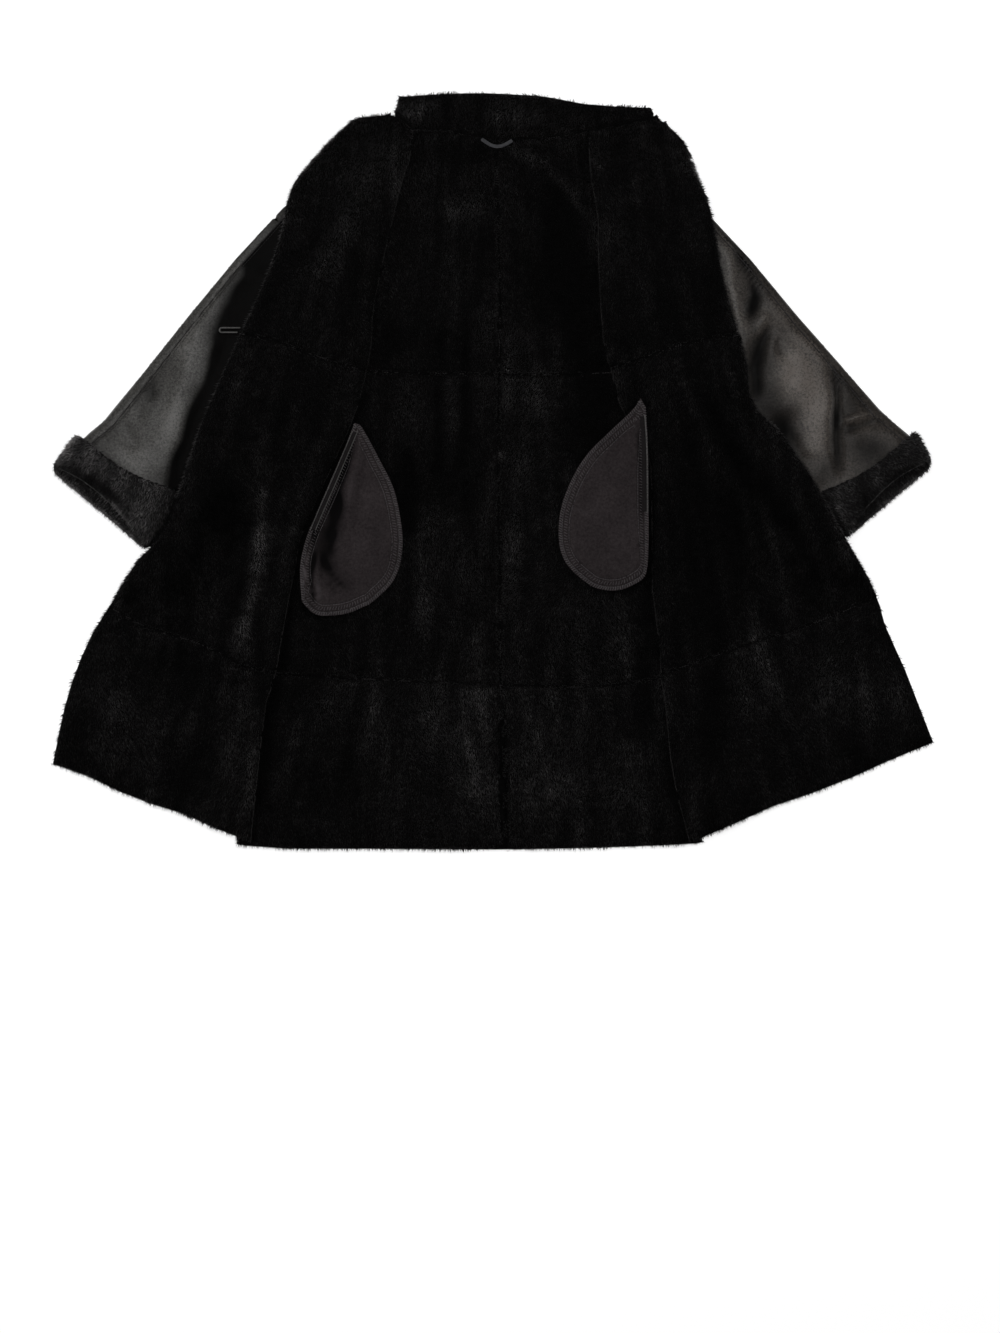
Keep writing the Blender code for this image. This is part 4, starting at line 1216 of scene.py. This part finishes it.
def dressBag(layer, side):
    name = f"pocket_{layer}_{side}"
    tree = treeOf([name])
    corners, middle = rimOf(name)
    rim = roundOff(corners, bagLook["steps"][layer], bagLook["sharp"])
    rings = [insetLine(rim, middle, inset) for inset in bagLook["rings"]]
    last = rings[-1]
    for k in range(1, bagLook["inner"]):
        share = 1 - k / bagLook["inner"]
        rings.append([middle + (spot - middle) * share for spot in last])
    insets = bagLook["rings"] + [bagLook["middleInset"]] * bagLook["inner"]

    def onLine(inset, line):
        return max(0.0, 1 - abs(inset - line) / bagLook["lineHalf"])

    def top(spot, inset):
        # how high the cloth lies: folds, grooves along the stitched lines and puckers between
        height = heightOn(tree, spot) + foldAt(Vector((spot.x, spot.y, 0)), bagCreases[side])[0]
        height += 0.0009 * noiseAt(spot, 30, 5)
        height += 0.0004 * noiseAt(spot, 90, 8)
        if inset < bagLook["border"]:
            for line in bagLook["lines"]:
                height -= bagLook["groove"] * onLine(inset, line)
            height += bagLook["pucker"] * noiseAt(spot, 260, 2)
            height += 0.0005 * max(0.0, 1 - inset / 0.004)
        return height

    def shadeAndRim(spot, inset):
        # the cotton's shadeAndRim attribute: painted shade and highlight along the folds, a lighter
        # overlocked rim, darker stitched lines and random patches
        level = 0.58 + foldAt(spot, bagCreases[side])[1]
        level += 0.10 * noiseAt(spot, 18, 11)
        if inset < bagLook["border"]:
            if inset < bagLook["overlock"]:
                level += 0.06 + 0.22 * noiseAt(spot, 420, 6)
            for line in bagLook["lines"]:
                level -= 0.30 * onLine(inset, line)
            level += 0.10 * noiseAt(spot, 260, 2)
        return level

    bm = bmesh.new()
    fallen = bm.verts.layers.float.new("shadeAndRim")
    layers = []
    for drop in (0.0, bagLook["thick"]):
        made = []
        for ring, inset in zip(rings, insets):
            made.append([bm.verts.new((spot.x, spot.y, top(spot, inset) - drop)) for spot in ring])
            for vert in made[-1]:
                vert[fallen] = shadeAndRim(vert.co, inset)
        deep = bagLook["middleInset"]
        peak = bm.verts.new((middle.x, middle.y, top(middle, deep) - drop))
        peak[fallen] = shadeAndRim(peak.co, deep)
        layers.append((made, peak))
    count = len(rim)
    for number, (made, peak) in enumerate(layers):
        for outer, inner in zip(made, made[1:]):
            for i in range(count):
                loop = (outer[i], outer[(i + 1) % count], inner[(i + 1) % count], inner[i])
                bm.faces.new(loop if number == 0 else loop[::-1])
        for i in range(count):
            loop = (made[-1][i], made[-1][(i + 1) % count], peak)
            bm.faces.new(loop if number == 0 else loop[::-1])
    above, below = layers[0][0][0], layers[1][0][0]
    for i in range(count):
        bm.faces.new((below[i], below[(i + 1) % count], above[(i + 1) % count], above[i]))
    bmesh.ops.recalc_face_normals(bm, faces=bm.faces)
    body = linkForm(name + "_cloth", bm, cotton)
    finishPiece(body, name)

    stitches = bmesh.new()
    for inset in bagLook["lines"]:
        for spot, along in resample(insetLine(rim, middle, inset), 0.0036):
            at = Vector((spot.x, spot.y, top(spot, inset) + 0.0003))
            addDash(stitches, at, along, 0.0031, 0.0010, 0.0006, finish=1)
    for inset, pitch, length in bagLook["ticks"]:
        for spot, along in resample(insetLine(rim, middle, inset), pitch):
            slant = 1.2 + 0.5 * noiseAt(spot, 900, inset * 1000)
            at = Vector((spot.x, spot.y, top(spot, inset) + 0.0004))
            addDash(stitches, at, Matrix.Rotation(slant, 2) @ along, length,
                    0.0012 if inset < 0.005 else 0.0007, 0.0006, finish=int(inset > 0.005))
    threads = linkForm(name + "_threads", stitches, thread, darkThread)
    finishPiece(threads)
    print(f"{name}: cloth {len(body.data.polygons) * 2}, threads {len(threads.data.polygons) * 2}")


def dressSmall(name, voxel, thicken, finish):
    # a narrow piece remeshed finely, so that its edges are rounded
    bm = evenMesh(name, bmeshOf(name), voxel, thicken)
    soften(bm, 2)
    for vert in bm.verts:
        vert.co.z += 0.0003 * noiseAt(vert.co, 150, 4)
    oneFinish(bm)
    body = linkForm(name + "_form", bm, finish)
    finishPiece(body, name)
    print(f"{name}: {len(body.data.polygons) * 2} triangles")


def trimFacing(side):
    # the bound edges of a pocket's facing: both on the left and the outer one on the right
    name = f"pocket_facing_{side}"
    tree = treeOf([name])
    bm = bmesh.new()
    for start, end, way, _ in wallLines(name):
        along = end - start
        if way.x > 0.3 or (side == "left" and way.x < -0.3):
            for spot, length in spaced(start, along, 0.004):
                at = spot - way * 0.0006
                at.z = heightOn(tree, at) + 0.0003
                addDash(bm, at, along, length + 0.0005, 0.0011 if side == "left" else 0.0019, 0.0008)
    finishPiece(linkForm(name + "_binding", bm, cordSkin))


for side in sides:
    for layer in ("under", "over"):
        dressBag(layer, side)
    dressSmall(f"pocket_facing_{side}", 0.0015, 2.0, darkFacing)
    trimFacing(side)
dressSmall("hanger_loop", 0.0010, 2.0, tape)
dressSmall("button_loop", 0.0008, 1.0, cordSkin)


# the skins' cut edges, the fringes of free ones, and the stitches and locks in the seams

edgeLook = {"width": 0.0013, "height": 0.0014, "seamLift": 0.0064, "step": 0.0034,
            "cutStep": 0.004, "fringeStep": 0.0013, "curlStep": 0.0018, "curlLength": 0.0052,
            "curlWidth": 0.0010, "middleHalf": 0.03}
lockTones = tuftTones[4:9]
lightestLock = len(lockTones) - 1


def addCurl(bm, at, way, length, width, finish):
    # one lock of pile, three-sided and pointed
    turn = way.to_track_quat("Z", "Y").to_matrix().to_4x4()
    size = Matrix.Diagonal((width, width, length, 1))
    made = bmesh.ops.create_cone(bm, segments=3, radius1=0.5, radius2=0.0, depth=1.0,
                                 cap_ends=False, matrix=Matrix.Translation(at) @ turn @ size)
    for vert in made["verts"]:
        for face in vert.link_faces:
            face.material_index = finish


def fringe(bm, start, along, way, rng, tone, length):
    # locks that stand out past a free edge, at the hem or along a front's outer side
    for spot in scattered(start, along, max(1, round(along.length / edgeLook["fringeStep"])), rng):
        at = spot + up * rng.uniform(0.0010, 0.0030)
        lean = way + along.normalized() * rng.uniform(-0.8, 0.8) + up * rng.uniform(0.1, 0.9)
        clump = noiseAt(at, 60, 18)
        addCurl(bm, at - way * 0.0016, lean, length * rng.uniform(0.6, 1.2), edgeLook["curlWidth"],
                clamp(int(tone + 3.0 * clump + rng.random() * 1.6), 0, lightestLock))


def curlSeam(bm, start, along, way, rng):
    # lighter and darker locks that stand in clumps beside a parting, more at the centre back
    middle = abs(way.x) > 0.7 and abs(start.x) < edgeLook["middleHalf"]
    count = max(1, round(along.length / edgeLook["curlStep"] * (2.2 if middle else 1.0)))
    for spot in scattered(start, along, count, rng):
        clump = noiseAt(spot, 75, 14) + 0.6 * noiseAt(spot, 17, 15)
        if clump > -0.20:
            back = 0.0012 + (0.0050 if middle else 0.0030) * rng.random()
            at = spot - way * back + up * (edgeLook["seamLift"] + 0.0012 * rng.random())
            lean = along.normalized() * rng.uniform(-1.2, 1.2) - way * rng.uniform(0.1, 1.0)
            tone = clamp(int(2.3 + 4.0 * clump + rng.random() * 1.6), 0, lightestLock)
            addCurl(bm, at, lean + up * 0.8, edgeLook["curlLength"] * rng.uniform(0.6, 1.2),
                    edgeLook["curlWidth"] * rng.uniform(0.7, 1.9 if middle else 1.3), tone)


def dressEdges(name, inner):
    # by where a wall is: stitches and locks in a seam, a fringe, or the cut edge of the opening
    cut = bmesh.new()
    stitches = bmesh.new()
    curls = bmesh.new()
    rng = random.Random(name)
    for start, end, way, sewn in wallLines(name):
        start, end = sunkAt(name, start), sunkAt(name, end)
        along = end - start
        if sewn:
            curlSeam(curls, start, along, way, rng)
            for k in range(int(along.length / edgeLook["step"]) + 1):
                spot = start + along * min((k + 0.5) * edgeLook["step"] / along.length, 1.0)
                chance = noiseAt(spot, 130, 3) + 0.7 * noiseAt(spot, 23, 8)
                if chance > 0.16:
                    at = spot + up * (edgeLook["seamLift"] + 0.0006 * chance)
                    turned = Matrix.Rotation(3 * chance - 0.9, 2) @ along.xy
                    addDash(stitches, at, turned, 0.0016 + 0.002 * chance, 0.0005, 0.0010,
                            0.4 * chance)
        elif way.y < -0.6 and start.y < -0.25:
            fringe(curls, start, along, way, rng, 0.0, 0.0042)
        # locks along a front's outer side are lighter, carrying the same painted highlight as the
        # pile's free rim
        elif inner and way.x * inner < 0.2 and start.y > -0.16:
            fringe(curls, start, along, way, rng, 2.2, 0.0048)
        elif inner and way.x * inner > 0.3:
            for spot, length in spaced(start, along, edgeLook["cutStep"]):
                if noiseAt(spot, 45, 12) >= -0.22:
                    wobble = 0.0007 * noiseAt(spot, 160, 6)
                    at = spot + way * (wobble - 0.0002) + up * edgeLook["height"] / 2
                    addDash(cut, at, along, length + 0.0006, edgeLook["width"], edgeLook["height"])
    for part, bm, finishes in (("cut", cut, [suede]), ("stitches", stitches, [seamThread]),
                               ("curls", curls, lockTones)):
        if len(bm.faces):
            finishPiece(linkForm(f"{name}_{part}", bm, *finishes))
        else:
            bm.free()


for side in sides:
    for tier in tiers:
        dressEdges(f"back_{tier}_{side}", 0.0)
        dressEdges(f"front_{tier}_{side}", 1.0 if side == "left" else -1.0)
print("edges and stitches are on")


# floor, light and camera

studio = {"floorSize": 60.0, "floorDrop": 0.0004, "floorGlow": 0.80, "worldGrey": 0.08}
camera = {"x": 0.0098, "y": -0.2731, "height": 8.0, "frameHeight": 1.8662, "sensor": 36.0}
lamps = [{"name": "softLeft", "at": (-2.6, 0.5, 1.5), "to": (0, 0, 0), "size": 1.3, "watts": 36.0},
         {"name": "softRight", "at": (2.6, 0.5, 1.5), "to": (0, 0, 0), "size": 1.3, "watts": 24.0},
         {"name": "overhead", "at": (0.0, 0.5, 3.0), "to": (0, 0.1, 0), "size": 1.4, "watts": 34.0}]


def makeFloor():
    bm = bmesh.new()
    bmesh.ops.create_grid(bm, x_segments=1, y_segments=1, size=studio["floorSize"] / 2)
    bmesh.ops.translate(bm, verts=bm.verts, vec=(0, 0, -studio["floorDrop"]))
    material, tree = newMaterial("paleFloor")
    rays = tree.make("ShaderNodeLightPath", {}, {}, "Is Camera Ray")
    seen = rays.atLeast(rays.other("Is Glossy Ray")).atLeast(rays.other("Is Transmission Ray"))
    plain = tree.make("ShaderNodeBsdfDiffuse", {}, {"Color": (0.8, 0.8, 0.8, 1)})
    shadowed = tree.make("ShaderNodeBsdfDiffuse", {}, {"Color": (0.4, 0.4, 0.4, 1)})
    glow = tree.make("ShaderNodeEmission", {}, {"Strength": studio["floorGlow"]})
    bright = tree.make("ShaderNodeAddShader", {}, {0: shadowed, 1: glow})
    mixed = tree.make("ShaderNodeMixShader", {}, {0: seen, 1: plain, 2: bright})
    tree.make("ShaderNodeOutputMaterial", {}, {"Surface": mixed})
    linkForm("floor", bm, material)


def makeWorld():
    world = bpy.data.worlds.new("studio")
    world.use_nodes = True
    bpy.context.scene.world = world
    tree = Tree(world.node_tree)
    grey = studio["worldGrey"]
    sky = tree.make("ShaderNodeBackground", {}, {"Color": (1, 1, 1, 1), "Strength": grey})
    tree.make("ShaderNodeOutputWorld", {}, {"Surface": sky})


def makeLamps():
    for lamp in lamps:
        data = bpy.data.lights.new(lamp["name"], "AREA")
        data.shape = "SQUARE"
        data.size = lamp["size"]
        data.energy = lamp["watts"]
        thing = bpy.data.objects.new(lamp["name"], data)
        thing.location = lamp["at"]
        aim = Vector(lamp["to"]) - Vector(lamp["at"])
        thing.rotation_euler = aim.to_track_quat("-Z", "Y").to_euler()
        bpy.context.scene.collection.objects.link(thing)


def makeCamera():
    data = bpy.data.cameras.new("camera")
    data.sensor_fit = "VERTICAL"
    data.sensor_height = camera["sensor"]
    data.lens = camera["sensor"] * camera["height"] / camera["frameHeight"]
    data.clip_end = 100.0
    thing = bpy.data.objects.new("camera", data)
    thing.location = (camera["x"], camera["y"], camera["height"])
    bpy.context.scene.collection.objects.link(thing)
    bpy.context.scene.camera = thing


makeFloor()
makeWorld()
makeLamps()
makeCamera()
bpy.context.scene.view_settings.view_transform = "Standard"
print("floor, light and camera are set")

for shape in list(tuftCollection.objects):
    bpy.data.objects.remove(shape)
bpy.data.collections.remove(tuftCollection)
